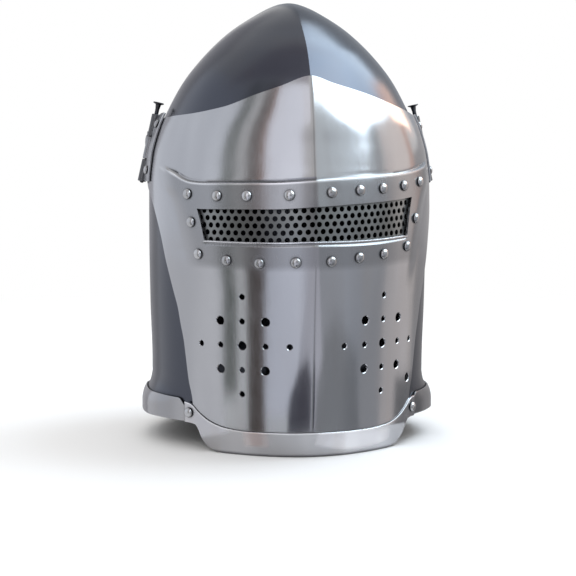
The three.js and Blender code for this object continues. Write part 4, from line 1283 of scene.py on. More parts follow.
@dataclass
class Visor:
    """The visor plate with its sight, its perforated sheet and its rivets."""

    form: Form
    finishes: Finishes
    half_columns: int = 100
    sight_columns: int = 60
    sight_top_turn: float = 0.494
    sight_foot_turn: float = 0.458
    step_half: float = 0.7 * MM
    groove_depth: float = 0.5 * MM
    groove_height: float = 1.8 * MM
    lip_depth: float = 0.9 * MM
    lip_height: float = 3.6 * MM
    lip_fade: int = 3
    keel_column: float = 0.006
    keel_round: float = 0.12 * MM
    keel_draw: float = 0.1 * MM
    keel_reach: float = 0.1
    keel_line: float = 0.005
    keel_line_foot: float = 0.14
    row_counts: tuple[int, ...] = (68, 10, 14, 12, 4, 46)
    sight_band: int = 2
    lip_shares: Curve = Curve([
        (0, 0), (0.14, 0), (0.34, 0.85), (0.5, 1), (0.75, 0.4), (1, 0),
    ])
    edge_round: float = 0.35 * MM
    hole_depth: float = 8 * MM
    hole_chamfer: float = 0.5 * MM
    painted_shade_below: float = 22 * MM
    painted_shade_fade: float = 5 * MM
    wear_and_highlight_reach: float = 1.2 * MM
    wear_and_highlight_crest: float = 0.8
    wear_and_highlight_rim: float = 0.15
    rim_across: float = 0.5
    rim_down: float = 1.5
    breath_turns: tuple[float, float] = (-0.291, 0.323)
    breath_height: float = 0.2395
    breath_across: float = 0.0965
    breath_up: float = 18.7 * MM
    breath_large: float = 3.3 * MM
    breath_small: float = 2.1 * MM
    large_breaths: Rows = ((0, 0), (1, 1), (-1, 1), (1, -1), (-1, -1))
    small_breaths: Rows = ((1, 0), (-1, 0), (0, 1), (0, -1), (2, 0), (-2, 0), (0, 2), (0, -2))
    latch_turn: float = 0.512
    latch_height: float = 0.1525
    rivet: RivetSize = RivetSize(4 * MM, 2.9 * MM, 1.5 * MM, 3 * MM, 1 * MM)
    rivet_drop: float = 10 * MM
    top_rivets: tuple[float, ...] = (-0.542, -0.396, -0.269, -0.103, 0.064, 0.19, 0.306, 0.434, 0.564)
    other_rivets: tuple[tuple[float, float], ...] = (
        (-0.524, 0.5015), (0.521, 0.5075), (-0.487, 0.4335), (-0.354, 0.422), (-0.219, 0.417),
        (-0.078, 0.4195), (0.063, 0.4215), (0.187, 0.428), (0.311, 0.4335), (0.454, 0.4475),
    )
    grille_gap: float = 1.4 * MM
    grille_wall: float = 1 * MM
    grille_top: float = 29 * MM
    grille_foot: float = 33 * MM
    grille_turn: float = 0.595
    grille_pitch: float = 6.4 * MM
    grille_row_pitch: float = 5.5 * MM
    grille_rows: int = 5
    grille_hole: float = 2.1 * MM
    grille_margin: float = 0.03
    grille_cell: float = 1.6 * MM
    punch_half: float = 3 * MM
    length_steps: int = 40

    def build(self) -> None:
        """Builds the plate, its perforated sheet and its rivets."""
        self.build_plate()
        self.build_grille()
        self.build_rivets()

    def bounds_of(self, share: Array) -> list[Array]:
        """Heights of the lines between the plate's bands of rows.

        Args:
            share: Shares of the way from the keel to the rear edge.

        Returns:
            The heights of each line, from the foot to the top.
        """
        form = self.form
        foot = form.edge_height(share, form.visor_foot)
        sight_foot = form.edge_height(share, form.sight_foot)
        crease = form.edge_height(share, form.crease)
        return [
            foot, sight_foot - self.lip_height, sight_foot, form.edge_height(share, form.sight_top),
            crease - self.step_half, crease + self.step_half, form.edge_height(share, form.visor_top),
        ]

    def place(self, column: Array, row: Array) -> Array:
        """A point of the plate from its column and row.

        Args:
            column: Columns from the wearer's right edge.
            row: Rows from the foot.

        Returns:
            Points.
        """
        form = self.form
        starts = np.concatenate([[0], np.cumsum(self.row_counts)])
        band = np.clip(np.searchsorted(starts, row, side="right") - 1, 0, len(self.row_counts) - 1)
        along = (row - starts[band]) / np.array(self.row_counts)[band]
        signed = (column - self.half_columns) / self.half_columns
        count = np.abs(column - self.half_columns)
        sign = np.sign(signed)
        top_end = self.sight_top_turn / form.visor_rear(form.sight_top(sign * self.sight_top_turn))
        foot_end = self.sight_foot_turn / form.visor_rear(form.sight_foot(sign * self.sight_foot_turn))
        sight_rows = self.row_counts[self.sight_band]
        rise = np.clip(row - starts[self.sight_band], 0, sight_rows) / sight_rows
        end = foot_end + (top_end - foot_end) * rise
        outer = (count - self.sight_columns) / (self.half_columns - self.sight_columns)
        inner = self.keel_column + (end - self.keel_column) * (count - 1) / (self.sight_columns - 1)
        share = sign * np.where(count <= self.sight_columns, inner, end + (1 - end) * outer)
        lines = np.stack(self.bounds_of(share))
        picked = np.arange(len(row))
        height = lines[band, picked] + (lines[band + 1, picked] - lines[band, picked]) * along
        turn = share * form.visor_rear(height)
        fade = form.crease_fade(np.abs(share))
        over = height - form.crease(turn) - self.step_half
        groove = np.clip(1 - np.abs(over) / self.groove_height, 0, 1) * (over > -HAIR)
        groove = groove * self.groove_depth * fade
        under = (lines[self.sight_band] - height) / self.lip_height
        inside = np.clip((self.sight_columns + 1 - count) / self.lip_fade, 0, 1)
        hollow = self.lip_depth * self.lip_shares(under) * inside
        crest = self.keel_draw * np.clip(1 - np.abs(share) / self.keel_reach, 0, 1)
        crest = crest + self.keel_round * (count == 0)
        growth = form.visor_standoff + form.proud(turn, height, self.step_half) - groove - hollow - crest
        return form.section(turn, height, growth)

    def hole_seats(self) -> dict[float, list[Seat]]:
        """Places the round holes.

        Returns:
            The seats of the holes of each radius.
        """
        form = self.form
        level = form.height * self.breath_height
        seats = {
            radius: [
                Seat.on(form, form.visor, middle + across * self.breath_across, level + rise * self.breath_up)
                for middle in self.breath_turns for across, rise in places
            ]
            for radius, places in (
                (self.breath_large, self.large_breaths), (self.breath_small, self.small_breaths),
            )
        }
        latch = Seat.on(form, form.visor, self.latch_turn, form.height * self.latch_height)
        seats[self.breath_large].append(latch)
        return seats

    def drills(self) -> Piece:
        """Makes the tools of all the round holes.

        Returns:
            The tools, joined.
        """
        tools = []
        for radius, places in self.hole_seats().items():
            chamfer = self.hole_chamfer
            profile = [
                (0.0, self.hole_depth), (radius + chamfer + self.hole_depth, self.hole_depth),
                (radius, -chamfer), (radius, -self.hole_depth), (0.0, -self.hole_depth),
            ]
            model = Bench.spun("drill", profile, steps=32)
            named = [(f"drill_{radius:.4f}_{i}", seat.matrix()) for i, seat in enumerate(places)]
            tools += Bench.copies(model, named)
        return Bench.joined(tools, "drills")

    def build_plate(self) -> None:
        """The plate, with its sight cut out flat, bent, walled and drilled."""
        first = sum(self.row_counts[:self.sight_band])
        last = first + self.row_counts[self.sight_band]
        size = (self.half_columns * 2, sum(self.row_counts))

        def in_sight(column: Array, row: Array) -> Array:
            """Which faces lie in the sight."""
            return (np.abs(column - self.half_columns) < self.sight_columns) & (row > first) & (row < last)

        plate = Bench.bent("visor_face", size, self.place, self.form.visor_wall, in_sight)
        Bench.round_edges(plate, self.edge_round, degrees=65)
        Bench.combine(plate, self.drills(), "DIFFERENCE")
        Bench.smooth(plate, degrees=14)
        self.mark_plate(plate)
        Bench.fit(plate, Body.VISOR, Slot.POLISHED, self.finishes.visor, "visor_plate")

    def mark_plate(self, plate: Piece) -> None:
        """Marks where the plate is dulled and painted darker as shade, over the belt round the sight and down
        the keel, and its edges that are worn and painted bright as highlights.

        Args:
            plate: The plate.
        """
        form = self.form
        places = Bench.points(plate)
        x, _, height = places.T
        across = form.half_width * form.side(height / form.height) + form.visor_standoff + form.crease_depth
        turn = np.arcsin(np.clip(x / across, -1, 1)) / QUARTER_TURN
        # Painted shade: the belt from the crease to below the sight, and a thin line down the keel, are
        # darkened and made a little rougher.
        above = (form.crease(turn) + form.crease_half_height - height) / form.crease_half_height
        over_foot = height - form.sight_foot(turn)
        below = (over_foot + self.painted_shade_below) / self.painted_shade_fade
        fade = form.crease_fade(np.abs(turn) / form.visor_rear(height))
        keel = (1 - np.abs(turn) / self.keel_line) * (height > form.height * self.keel_line_foot)
        Bench.mark(plate, "dulled_and_painted_shade", np.maximum(np.clip(above, 0, 1) * np.clip(below, 0, 1) * fade, keel))
        # Painted highlight and wear: the sight's lower lip, the crest of the crease and the rims of the holes
        # are lightened.
        lip = (1 - np.abs(over_foot) / self.wear_and_highlight_reach) * (np.abs(turn) < self.sight_foot_turn)
        crest = (1 - np.abs(height - form.crease(turn) + self.step_half) / self.wear_and_highlight_reach) * fade
        holes = np.zeros(len(places))
        for radius, seats in self.hole_seats().items():
            for seat in seats:
                out = places - np.array(seat.point)
                away = np.linalg.norm(np.cross(out, np.array(seat.normal)), axis=1)
                deep = -out @ np.array(seat.normal)
                near = away < radius + self.hole_chamfer * self.rim_across
                holes = np.maximum(holes, near * (deep < self.hole_chamfer * self.rim_down))
        Bench.mark(plate, "wear_and_highlight", np.maximum(np.maximum(lip, crest * self.wear_and_highlight_crest), holes * self.wear_and_highlight_rim))

    def sight_middle(self, turn: Array) -> Array:
        """Height of the middle of the sight."""
        return (self.form.sight_top(turn) + self.form.sight_foot(turn)) / 2

    def turn_at(self) -> Curve:
        """Measures the way along the sight.

        Returns:
            Turn at each length from the keel.
        """
        turns = np.linspace(0, self.grille_turn, self.length_steps + 1)
        points = self.form.visor(turns, self.sight_middle(0) + 0 * turns)
        lengths = np.concatenate([[0], np.cumsum(np.linalg.norm(np.diff(points, axis=0), axis=1))])
        return Curve(list(zip(lengths, turns)))

    def build_grille(self) -> None:
        """The perforated sheet: drilled flat, then bent behind the sight."""
        turn_at = self.turn_at()
        step = self.grille_pitch / 2
        reach = int(turn_at.places[-1] // step)
        length = reach * step
        limit = self.sight_foot_turn + self.grille_margin
        columns = round(2 * length / self.grille_cell)
        rows = round((self.grille_top + self.grille_foot) / self.grille_cell)

        def flat(column: Array, row: Array) -> Array:
            """A point of the flat sheet."""
            rise = -self.grille_foot + (self.grille_top + self.grille_foot) * row / rows
            return np.stack([length * (2 * column / columns - 1), rise, 0 * row + self.grille_wall], axis=-1)

        sheet = Bench.bent("sight_sheet", (columns, rows), flat, self.grille_wall)
        half, hole = self.punch_half, self.grille_hole
        model = Bench.spun("punch", [(0.0, half), (hole, half), (hole, -half), (0.0, -half)], steps=20)
        punches = []
        for row in range(self.grille_rows):
            for k in range(-reach, reach + 1):
                if (k - row - 1) % 2 or turn_at(abs(k) * step) > limit:
                    continue
                place = Vector((k * step, (row - self.grille_rows // 2) * self.grille_row_pitch, 0))
                punches.append((f"punch_{row}_{k}", Matrix.Translation(place)))
        Bench.combine(sheet, Bench.joined(Bench.copies(model, punches), "punches"), "DIFFERENCE")
        laid = Bench.points(sheet)
        turn = np.sign(laid[:, 0]) * turn_at(np.abs(laid[:, 0]))
        lift = -self.form.visor_wall - self.grille_gap - self.grille_wall + laid[:, 2]
        height = self.sight_middle(turn) + laid[:, 1]
        bent, _ = self.form.lifted(self.form.visor, turn, height, lift)
        Bench.move(sheet, bent)
        Bench.smooth(sheet, degrees=30)
        Bench.fit(sheet, Body.VISOR, Slot.SHEET, self.finishes.grille, "sight_grille")

    def build_rivets(self) -> None:
        """The domed rivets round the sight."""
        form = self.form
        places = [(turn, float(form.crease(turn)) - self.rivet_drop) for turn in self.top_rivets]
        places += [(turn, form.height * share) for turn, share in self.other_rivets]
        grip = form.fit_gap + form.visor_wall + self.grille_gap + self.grille_wall + form.tail_gap
        seats = [
            (f"sight_stud_{i:02d}", Seat.on(form, form.visor, turn, height, form.fit_gap).matrix())
            for i, (turn, height) in enumerate(places, 1)
        ]
        for i, piece in enumerate(Bench.copies(self.rivet.model(grip), seats), 1):
            Bench.fit(piece, Body.VISOR, Slot.BRIGHT, self.finishes.rivet, f"sight_rivet_{i:02d}")


@dataclass
class TempleHinge:
    """One of the two leaning hinges, with its pull-out pin, and the pivot behind it."""

    form: Form
    finishes: Finishes
    side: Side
    foot_share: float = 0.5885
    length: float = 55.7 * MM
    foot_standoff: float = 6.8 * MM
    top_standoff: float = 8.7 * MM
    knuckle_radius: float = 3.4 * MM
    knuckle_gap: float = 0.4 * MM
    knuckle_setback: float = 0.9 * MM
    knuckle_round: float = 0.5 * MM
    pin_radius: float = 1.65 * MM
    pin_bore_gap: float = 0.35 * MM
    head_radius: float = 4.4 * MM
    head_rim: float = 0.8 * MM
    head_soft: float = 0.2 * MM
    head_flare: float = 0.9 * MM
    neck_radius: float = 2.3 * MM
    neck_length: float = 3.6 * MM
    waist_share: float = 0.86
    waist_place: float = 0.55
    head_proud: float = 9.8 * MM
    foot_proud: float = 1.2 * MM
    foot_chamfer: float = 0.8 * MM
    leaf_wall: float = 1.8 * MM
    leaf_front: float = 0.88
    leaf_rivet_turn: float = 0.92
    leaf_rivet: RivetSize = RivetSize(3.6 * MM, 2.3 * MM, 1.5 * MM, 0, 0)
    leaf_shank_share: float = 0.8
    web_share: float = 0.8
    web_half: float = 1 * MM
    web_height_share: float = 0.9
    web_inset: float = 0.1
    leaf_columns: int = 14
    leaf_rows: int = 36
    leaf_round: float = 0.4 * MM
    outer_knuckles: tuple[int, int] = (0, 2)
    rolled_from: float = 1.5
    arm_wall: float = 2 * MM
    arm_gap: float = 0.7 * MM
    arm_end: float = 9.5 * MM
    arm_half: float = 7.5 * MM
    arm_steps: int = 24
    arm_round: float = 0.35 * MM
    stud_head: float = 6.5 * MM
    stud_rise: float = 1.6 * MM
    stud_shank: float = 3 * MM
    stud_collar: float = 5 * MM
    stud_tail: float = 5 * MM
    stud_tail_rise: float = 1.4 * MM
    stud_tail_top: float = 0.8
    stud_steps: int = 7
    washer_radius: float = 7 * MM
    washer_wall: float = 1.2 * MM
    washer_round: float = 0.24 * MM
    search_turns: tuple[float, float] = (0.5, 1.5)
    search_steps: int = 40
    hole_gap: float = 0.45 * MM

    def __post_init__(self) -> None:
        """Works out the hinge's axis and the arm's place."""
        form = self.form
        self.sign, self.word = self.side.value, self.side.word
        self.foot = form.height * self.foot_share
        self.foot_side = form.skull_side(self.foot) + self.foot_standoff
        top_side = form.skull_side(self.foot + self.length) + self.top_standoff
        self.lean = math.atan((self.foot_side - top_side) / self.length)
        middle = self.foot + self.length / 2
        rear = form.visor(form.visor_rear(middle), np.array(middle))
        self.forward = -float(rear[1]) - self.knuckle_setback - self.knuckle_radius
        self.knuckle_length = (self.length - self.knuckle_gap * 2) / 3
        self.top = self.foot + self.length * math.cos(self.lean)
        self.middle = (self.foot + self.top) / 2
        self.pivot_height = form.height * form.pivot_share
        lowest = min(self.middle - self.arm_half, self.pivot_height - self.arm_end)
        self.arm_inside = form.skull_side(lowest) + self.arm_gap

    def build(self) -> None:
        """Builds the hinge and its pivot."""
        self.build_leaf()
        self.build_arm()
        self.build_pin()
        self.build_pivot()

    def axis(self) -> Vector:
        """The way of the hinge's axis."""
        return Vector((-self.sign * math.sin(self.lean), 0, math.cos(self.lean)))

    def point(self, along: float) -> Vector:
        """A point of the hinge's axis."""
        return Vector((self.sign * self.foot_side, -self.forward, self.foot)) + self.axis() * along

    def centre(self, index: int) -> float:
        """Place of a knuckle's middle along the axis."""
        return index * (self.knuckle_length + self.knuckle_gap) + self.knuckle_length / 2

    def on_axis(self, along: float) -> Matrix:
        """The turn and move that stand a thing on the axis."""
        return Seat(self.point(along), self.axis()).matrix()

    def knuckle(self, index: int) -> Piece:
        """One knuckle before it is bored, its ends softened.

        Args:
            index: Its place, counted from the lowest.

        Returns:
            The knuckle.
        """
        half, soft = self.knuckle_length / 2, self.knuckle_round
        outer = self.knuckle_radius
        model = Bench.spun("knuckle", [
            (0.0, -half), (outer - soft, -half), (outer, -half + soft), (outer, half - soft),
            (outer - soft, half), (0.0, half),
        ], steps=36)
        return Bench.placed(model, f"knuckle_{self.word}_{index}", self.on_axis(self.centre(index)))

    def bore(self) -> Piece:
        """Makes the tool that clears the pin's bore.

        Returns:
            The tool, on the hinge's axis.
        """
        radius = self.pin_radius + self.pin_bore_gap
        over = self.length
        profile = [(0.0, -over), (radius, -over), (radius, 2 * over), (0.0, 2 * over)]
        return Bench.placed(Bench.spun("bore", profile, steps=31), f"bore_{self.word}", self.on_axis(0))

    def web(self, index: int) -> Piece:
        """The bent strip between the leaf and one of its knuckles.

        Args:
            index: The knuckle's place.

        Returns:
            The strip.
        """
        form = self.form
        reach = self.knuckle_length / 2 * self.web_height_share
        rear = float(form.visor_rear(form.height))
        turn = self.sign * (self.leaf_front + (rear - self.leaf_front) * self.web_share)
        corners = []
        for along in (self.centre(index) - reach, self.centre(index) + reach):
            on_axis = self.point(along)
            near, far = (
                Seat.on(form, form.visor, turn, on_axis.z, form.fit_gap + self.leaf_wall * share).point
                for share in (self.web_inset, 1 - self.web_inset)
            )
            out = Vector((self.sign * self.web_half, 0, 0))
            corners.append([near, on_axis - out, on_axis + out, far])
        low, high = corners
        bpy.ops.mesh.primitive_cube_add(size=1)
        strip = Bench.started(f"web_{self.word}_{index}")
        order = {(False, False): 0, (True, False): 1, (True, True): 2, (False, True): 3}
        places = [
            (high if corner.co.z > 0 else low)[order[corner.co.x > 0, corner.co.y > 0]]
            for corner in strip.data.vertices
        ]
        Bench.move(strip, np.array(places))
        Bench.tidy(strip)
        return strip

    def build_leaf(self) -> None:
        """The leaf on the visor, its two knuckles and its rivets."""
        form = self.form
        rear = float(form.visor_rear(form.height))
        columns, rows = self.leaf_columns, self.leaf_rows

        def place(column: Array, row: Array) -> Array:
            """A point of the leaf.

            Args:
                column: Columns along it.
                row: Rows from the foot.

            Returns:
                Points.
            """
            share = column / columns if self.side is Side.LEFT else 1 - column / columns
            turn = self.sign * (self.leaf_front + (rear - self.leaf_front) * share)
            height = self.foot + (self.top - self.foot) * row / rows
            points, _ = form.lifted(form.visor, turn, height, form.fit_gap + self.leaf_wall)
            return points

        leaf = Bench.bent(f"leaf_{self.word}", (columns, rows), place, self.leaf_wall)
        Bench.round_edges(leaf, self.leaf_round)
        for index in self.outer_knuckles:
            Bench.combine(leaf, self.web(index), "UNION")
            Bench.combine(leaf, self.knuckle(index), "UNION")
        Bench.combine(leaf, self.bore(), "DIFFERENCE")
        Bench.smooth(leaf)
        off = np.cross(Bench.points(leaf) - np.array(self.point(0)), np.array(self.axis()))
        inside = self.knuckle_radius - np.linalg.norm(off, axis=1)
        Bench.mark(leaf, "rolled", inside / self.knuckle_round + self.rolled_from)
        Bench.fit(leaf, Body.VISOR, Slot.DARK, self.finishes.leaf, f"hinge_leaf_{self.word}")
        lift = form.fit_gap * 2 + self.leaf_wall
        model = self.leaf_rivet.model(lift + form.visor_wall * self.leaf_shank_share)
        words = ("lower", "upper")
        seats = []
        for word, index in zip(words, self.outer_knuckles):
            height = self.foot + self.centre(index) * math.cos(self.lean)
            seat = Seat.on(form, form.visor, self.sign * self.leaf_rivet_turn, height, lift)
            seats.append((f"leaf_stud_{self.word}_{word}", seat.matrix()))
        for word, piece in zip(words, Bench.copies(model, seats)):
            Bench.fit(piece, Body.VISOR, Slot.DARK, self.finishes.rivet, f"leaf_rivet_{self.word}_{word}")

    def build_arm(self) -> None:
        """The flat arm from the middle knuckle back to the pivot."""
        near = self.sign * self.arm_inside
        outline = [Vector((near, -self.forward, self.middle - self.arm_half))]
        for step in range(self.arm_steps + 1):
            angle = -QUARTER_TURN + math.pi * step / self.arm_steps
            outline.append(Vector((
                near,
                self.form.pivot_back + self.arm_end * math.cos(angle),
                self.pivot_height + self.arm_end * math.sin(angle),
            )))
        outline.append(Vector((near, -self.forward, self.middle + self.arm_half)))
        arm = Bench.prism(f"arm_{self.word}", outline, Vector((self.sign * self.arm_wall, 0, 0)))
        Bench.round_edges(arm, self.arm_round)
        Bench.combine(arm, self.knuckle(1), "UNION")
        Bench.combine(arm, self.bore(), "DIFFERENCE")
        Bench.smooth(arm)
        Bench.fit(arm, Body.VISOR, Slot.DARK, self.finishes.hinge, f"pivot_arm_{self.word}")

    def build_pin(self) -> None:
        """The headed pin that pulls out of the knuckles."""
        top = self.length + self.head_proud
        neck_top = top - self.head_rim - self.head_flare
        soft = self.head_soft
        model = Bench.spun("pin", [
            (0.0, top), (self.head_radius - soft, top), (self.head_radius, top - soft),
            (self.head_radius, top - self.head_rim), (self.neck_radius, neck_top),
            (self.neck_radius * self.waist_share, neck_top - self.neck_length * self.waist_place),
            (self.pin_radius, neck_top - self.neck_length),
            (self.pin_radius, self.foot_chamfer - self.foot_proud),
            (self.pin_radius - self.foot_chamfer, -self.foot_proud), (0.0, -self.foot_proud),
        ], steps=32)
        Bench.smooth(model, degrees=35)
        pin = Bench.placed(model, f"pull_pin_{self.word}", self.on_axis(0))
        body = Body.PIN_RIGHT if self.side is Side.RIGHT else Body.PIN_LEFT
        Bench.fit(pin, body, Slot.DARK, self.finishes.forged, f"hinge_pin_{self.word}")

    def beside(self, behind: float, height: float, lift: float) -> float:
        """How far out the skull lies at a place behind the middle.

        Args:
            behind: Distance behind the middle.
            height: Height over the ground.
            lift: Distance outwards from the surface.

        Returns:
            The distance from the middle plane.
        """
        front, back = self.search_turns
        for _ in range(self.search_steps):
            turn = (front + back) / 2
            if self.form.skull(np.array(turn), np.array(height))[1] < behind:
                front = turn
            else:
                back = turn
        return Seat.on(self.form, self.form.skull, front, height, lift).point.x

    def build_pivot(self) -> None:
        """The stud and the washer that the visor turns on."""
        gap, behind = self.form.fit_gap, self.form.pivot_back
        head = self.arm_inside + self.arm_wall + gap
        collar_top = self.arm_inside - gap
        collar_foot = self.beside(behind - self.stud_collar, self.pivot_height - self.stud_collar, gap)
        washer_top = self.beside(
            behind + self.washer_radius, self.pivot_height + self.washer_radius,
            -self.form.skull_wall - self.form.tail_gap,
        )
        washer_foot = washer_top - self.washer_wall
        tail = washer_foot - gap
        angles = [QUARTER_TURN * step / self.stud_steps for step in range(self.stud_steps + 1)]
        dome = [(self.stud_head * math.sin(a), head + self.stud_rise * math.cos(a)) for a in angles]
        stud = Bench.smooth(Bench.spun("stud", [
            *dome, (self.stud_shank, head), (self.stud_shank, collar_top), (self.stud_collar, collar_top),
            (self.stud_collar, collar_foot), (self.stud_shank, collar_foot), (self.stud_shank, tail),
            (self.stud_tail, tail), (self.stud_tail * self.stud_tail_top, tail - self.stud_tail_rise),
            (0.0, tail - self.stud_tail_rise),
        ], steps=36))
        bore = self.stud_shank + self.hole_gap
        edge, soft = self.washer_radius, self.washer_round
        washer = Bench.smooth(Bench.spun("washer", [
            (bore, washer_top), (edge - soft, washer_top), (edge, washer_top - soft),
            (edge, washer_foot + soft), (edge - soft, washer_foot), (bore, washer_foot),
        ], steps=36))
        seat = Seat(Vector((0, behind, self.pivot_height)), Vector((self.sign, 0, 0))).matrix()
        made = Bench.placed(stud, f"pivot_bolt_{self.word}", seat)
        Bench.fit(made, Body.HELMET, Slot.BRIGHT, self.finishes.rivet, f"pivot_stud_{self.word}")
        made = Bench.placed(washer, f"pivot_ring_{self.word}", seat)
        Bench.fit(made, Body.HELMET, Slot.DARK, self.finishes.forged, f"pivot_washer_{self.word}")


@dataclass
class Lining:
    """The leather liner with its rivets, and the two chin straps with the buckle."""

    form: Form
    finishes: Finishes
    wall: float = 3 * MM
    columns: int = 192
    rows: int = 48
    gores: int = 8
    seam_depth: float = 0.9 * MM
    seam_width: float = 0.05
    fold_depth: float = 1.6 * MM
    gore_folds: int = 2
    cap_round: float = 0.6 * MM
    strap_round: float = 0.45 * MM
    buckle_round: float = 0.5 * MM
    big_rivet: RivetSize = RivetSize(4 * MM, 2.4 * MM, 1.5 * MM, 3 * MM, 1 * MM)
    flush_rivet: RivetSize = RivetSize(4 * MM, 0.6 * MM, 1.5 * MM, 3 * MM, 1 * MM)
    brow_turn: float = 0.24
    brow_rise: float = 8 * MM
    back_turns: tuple[float, ...] = (1.3, 1.65, 2, -1.65, -1.3)
    back_rise: float = 12 * MM
    strap_turn: float = 0.76
    strap_lap: float = 14 * MM
    strap_drop: float = 8 * MM
    strap_gap: float = 2.4 * MM
    strap_wall: float = 2.2 * MM
    strap_tail_gap: float = 0.5 * MM
    pivot_clear: float = 9 * MM
    pivot_cut: float = 14 * MM
    arm_inside: float = 0.0

    def build(self) -> None:
        """Builds the liner, its rivets, the straps and the buckle."""
        self.build_cap()
        self.build_rivets()
        self.build_straps()
        self.build_buckle()

    def build_cap(self) -> None:
        """The leather cap of sewn gores, drawn together over the head."""
        form = self.form

        def place(column: Array, row: Array) -> Array:
            """A point of the cap.

            Args:
                column: Columns round it, from the back.
                row: Rows from the foot.

            Returns:
                Points.
            """
            turn = (column / self.columns * 2 - 1) * ALL_ROUND
            foot = form.liner_foot(turn)
            share = row / self.rows
            height = foot + (form.height * form.liner_crown - foot) * share
            gore = (turn / (2 * ALL_ROUND) * self.gores) % 1
            off_seam = np.minimum(gore, 1 - gore)
            seam = self.seam_depth * np.exp(-(off_seam / self.seam_width) ** 2)
            fold = self.fold_depth * share ** 2 * (0.5 - 0.5 * np.cos(FULL_TURN * gore * self.gore_folds))
            points, _ = form.lifted(form.liner, turn, height, -seam - fold)
            return points

        cap = Bench.bent("leather_cap", (self.columns, self.rows), place, self.wall)
        for side in Side:
            model = Bench.spun("window", [
                (0.0, self.pivot_cut), (self.pivot_clear, self.pivot_cut),
                (self.pivot_clear, -self.pivot_cut), (0.0, -self.pivot_cut),
            ], steps=36)
            middle = Vector((side.value * self.arm_inside, form.pivot_back, form.height * form.pivot_share))
            seat = Seat(middle, Vector((side.value, 0, 0)))
            window = Bench.placed(model, f"window_{side.word}", seat.matrix())
            Bench.combine(cap, window, "DIFFERENCE")
        Bench.round_edges(cap, self.cap_round, degrees=60)
        Bench.smooth(cap, degrees=40)
        Bench.fit(cap, Body.HELMET, Slot.LEATHER, self.finishes.leather, "liner")

    def build_rivets(self) -> None:
        """The liner's rivets: domed ones behind, flush ones under the visor."""
        form = self.form
        grip = form.fit_gap + form.skull_wall + form.liner_gap + self.wall + form.tail_gap
        back = [(turn, form.height * form.liner_rim + self.back_rise) for turn in self.back_turns]
        brow = [(sign * self.brow_turn, form.height * form.liner_brow + self.brow_rise) for sign in (-1, 1)]
        kinds = [
            (self.big_rivet, back, Slot.DARK, self.finishes.forged, 1),
            (self.flush_rivet, brow, Slot.BLACKENED, self.finishes.skull, 1 + len(back)),
        ]
        for size, places, slot, finish, first in kinds:
            seats = [
                (f"liner_stud_{first + i}", Seat.on(form, form.skull, turn, height, form.fit_gap).matrix())
                for i, (turn, height) in enumerate(places)
            ]
            for i, piece in enumerate(Bench.copies(size.model(grip), seats)):
                Bench.fit(piece, Body.HELMET, slot, finish, f"liner_rivet_{first + i}")

    def build_straps(self) -> None:
        """The two chin straps and their flush rivets."""
        form = self.form
        for side, kind in ((Side.RIGHT, "buckle_strap"), (Side.LEFT, "holed_strap")):
            strap = Bench.from_node(f"chin_strap_{side.word}", kind)
            Bench.round_edges(strap, self.strap_round, degrees=40)
            Bench.smooth(strap, degrees=40)
            Bench.fit(strap, Body.HELMET, Slot.LEATHER, self.finishes.strap, f"chin_strap_{side.word}")
            turn = side.value * self.strap_turn
            top = float(form.liner_foot(turn)) + self.strap_lap
            lift = -form.skull_wall - form.liner_gap - self.wall - self.strap_gap
            root = Seat.on(form, form.skull, turn, top, lift)
            outward = Vector((root.normal.x, root.normal.y, 0)).normalized()
            far = root.point - outward * (self.strap_wall + self.strap_tail_gap)
            seat = Seat.on(form, form.skull, turn, top - self.strap_drop, form.fit_gap)
            grip = (seat.point - far).dot(outward) / seat.normal.dot(outward)
            piece = Bench.placed(self.flush_rivet.model(grip), f"strap_stud_{side.word}", seat.matrix())
            Bench.fit(piece, Body.HELMET, Slot.BLACKENED, self.finishes.skull, f"strap_rivet_{side.word}")

    def build_buckle(self) -> None:
        """The brass buckle and its prong."""
        for node, name, body in (
            ("buckle_frame", "brass_buckle", Body.BUCKLE), ("buckle_prong", "brass_tongue", Body.PRONG),
        ):
            piece = Bench.from_node(node, name)
            Bench.round_edges(piece, self.buckle_round, segments=3, degrees=40)
            Bench.smooth(piece, degrees=40)
            Bench.fit(piece, body, Slot.BRASS, self.finishes.brass, node)


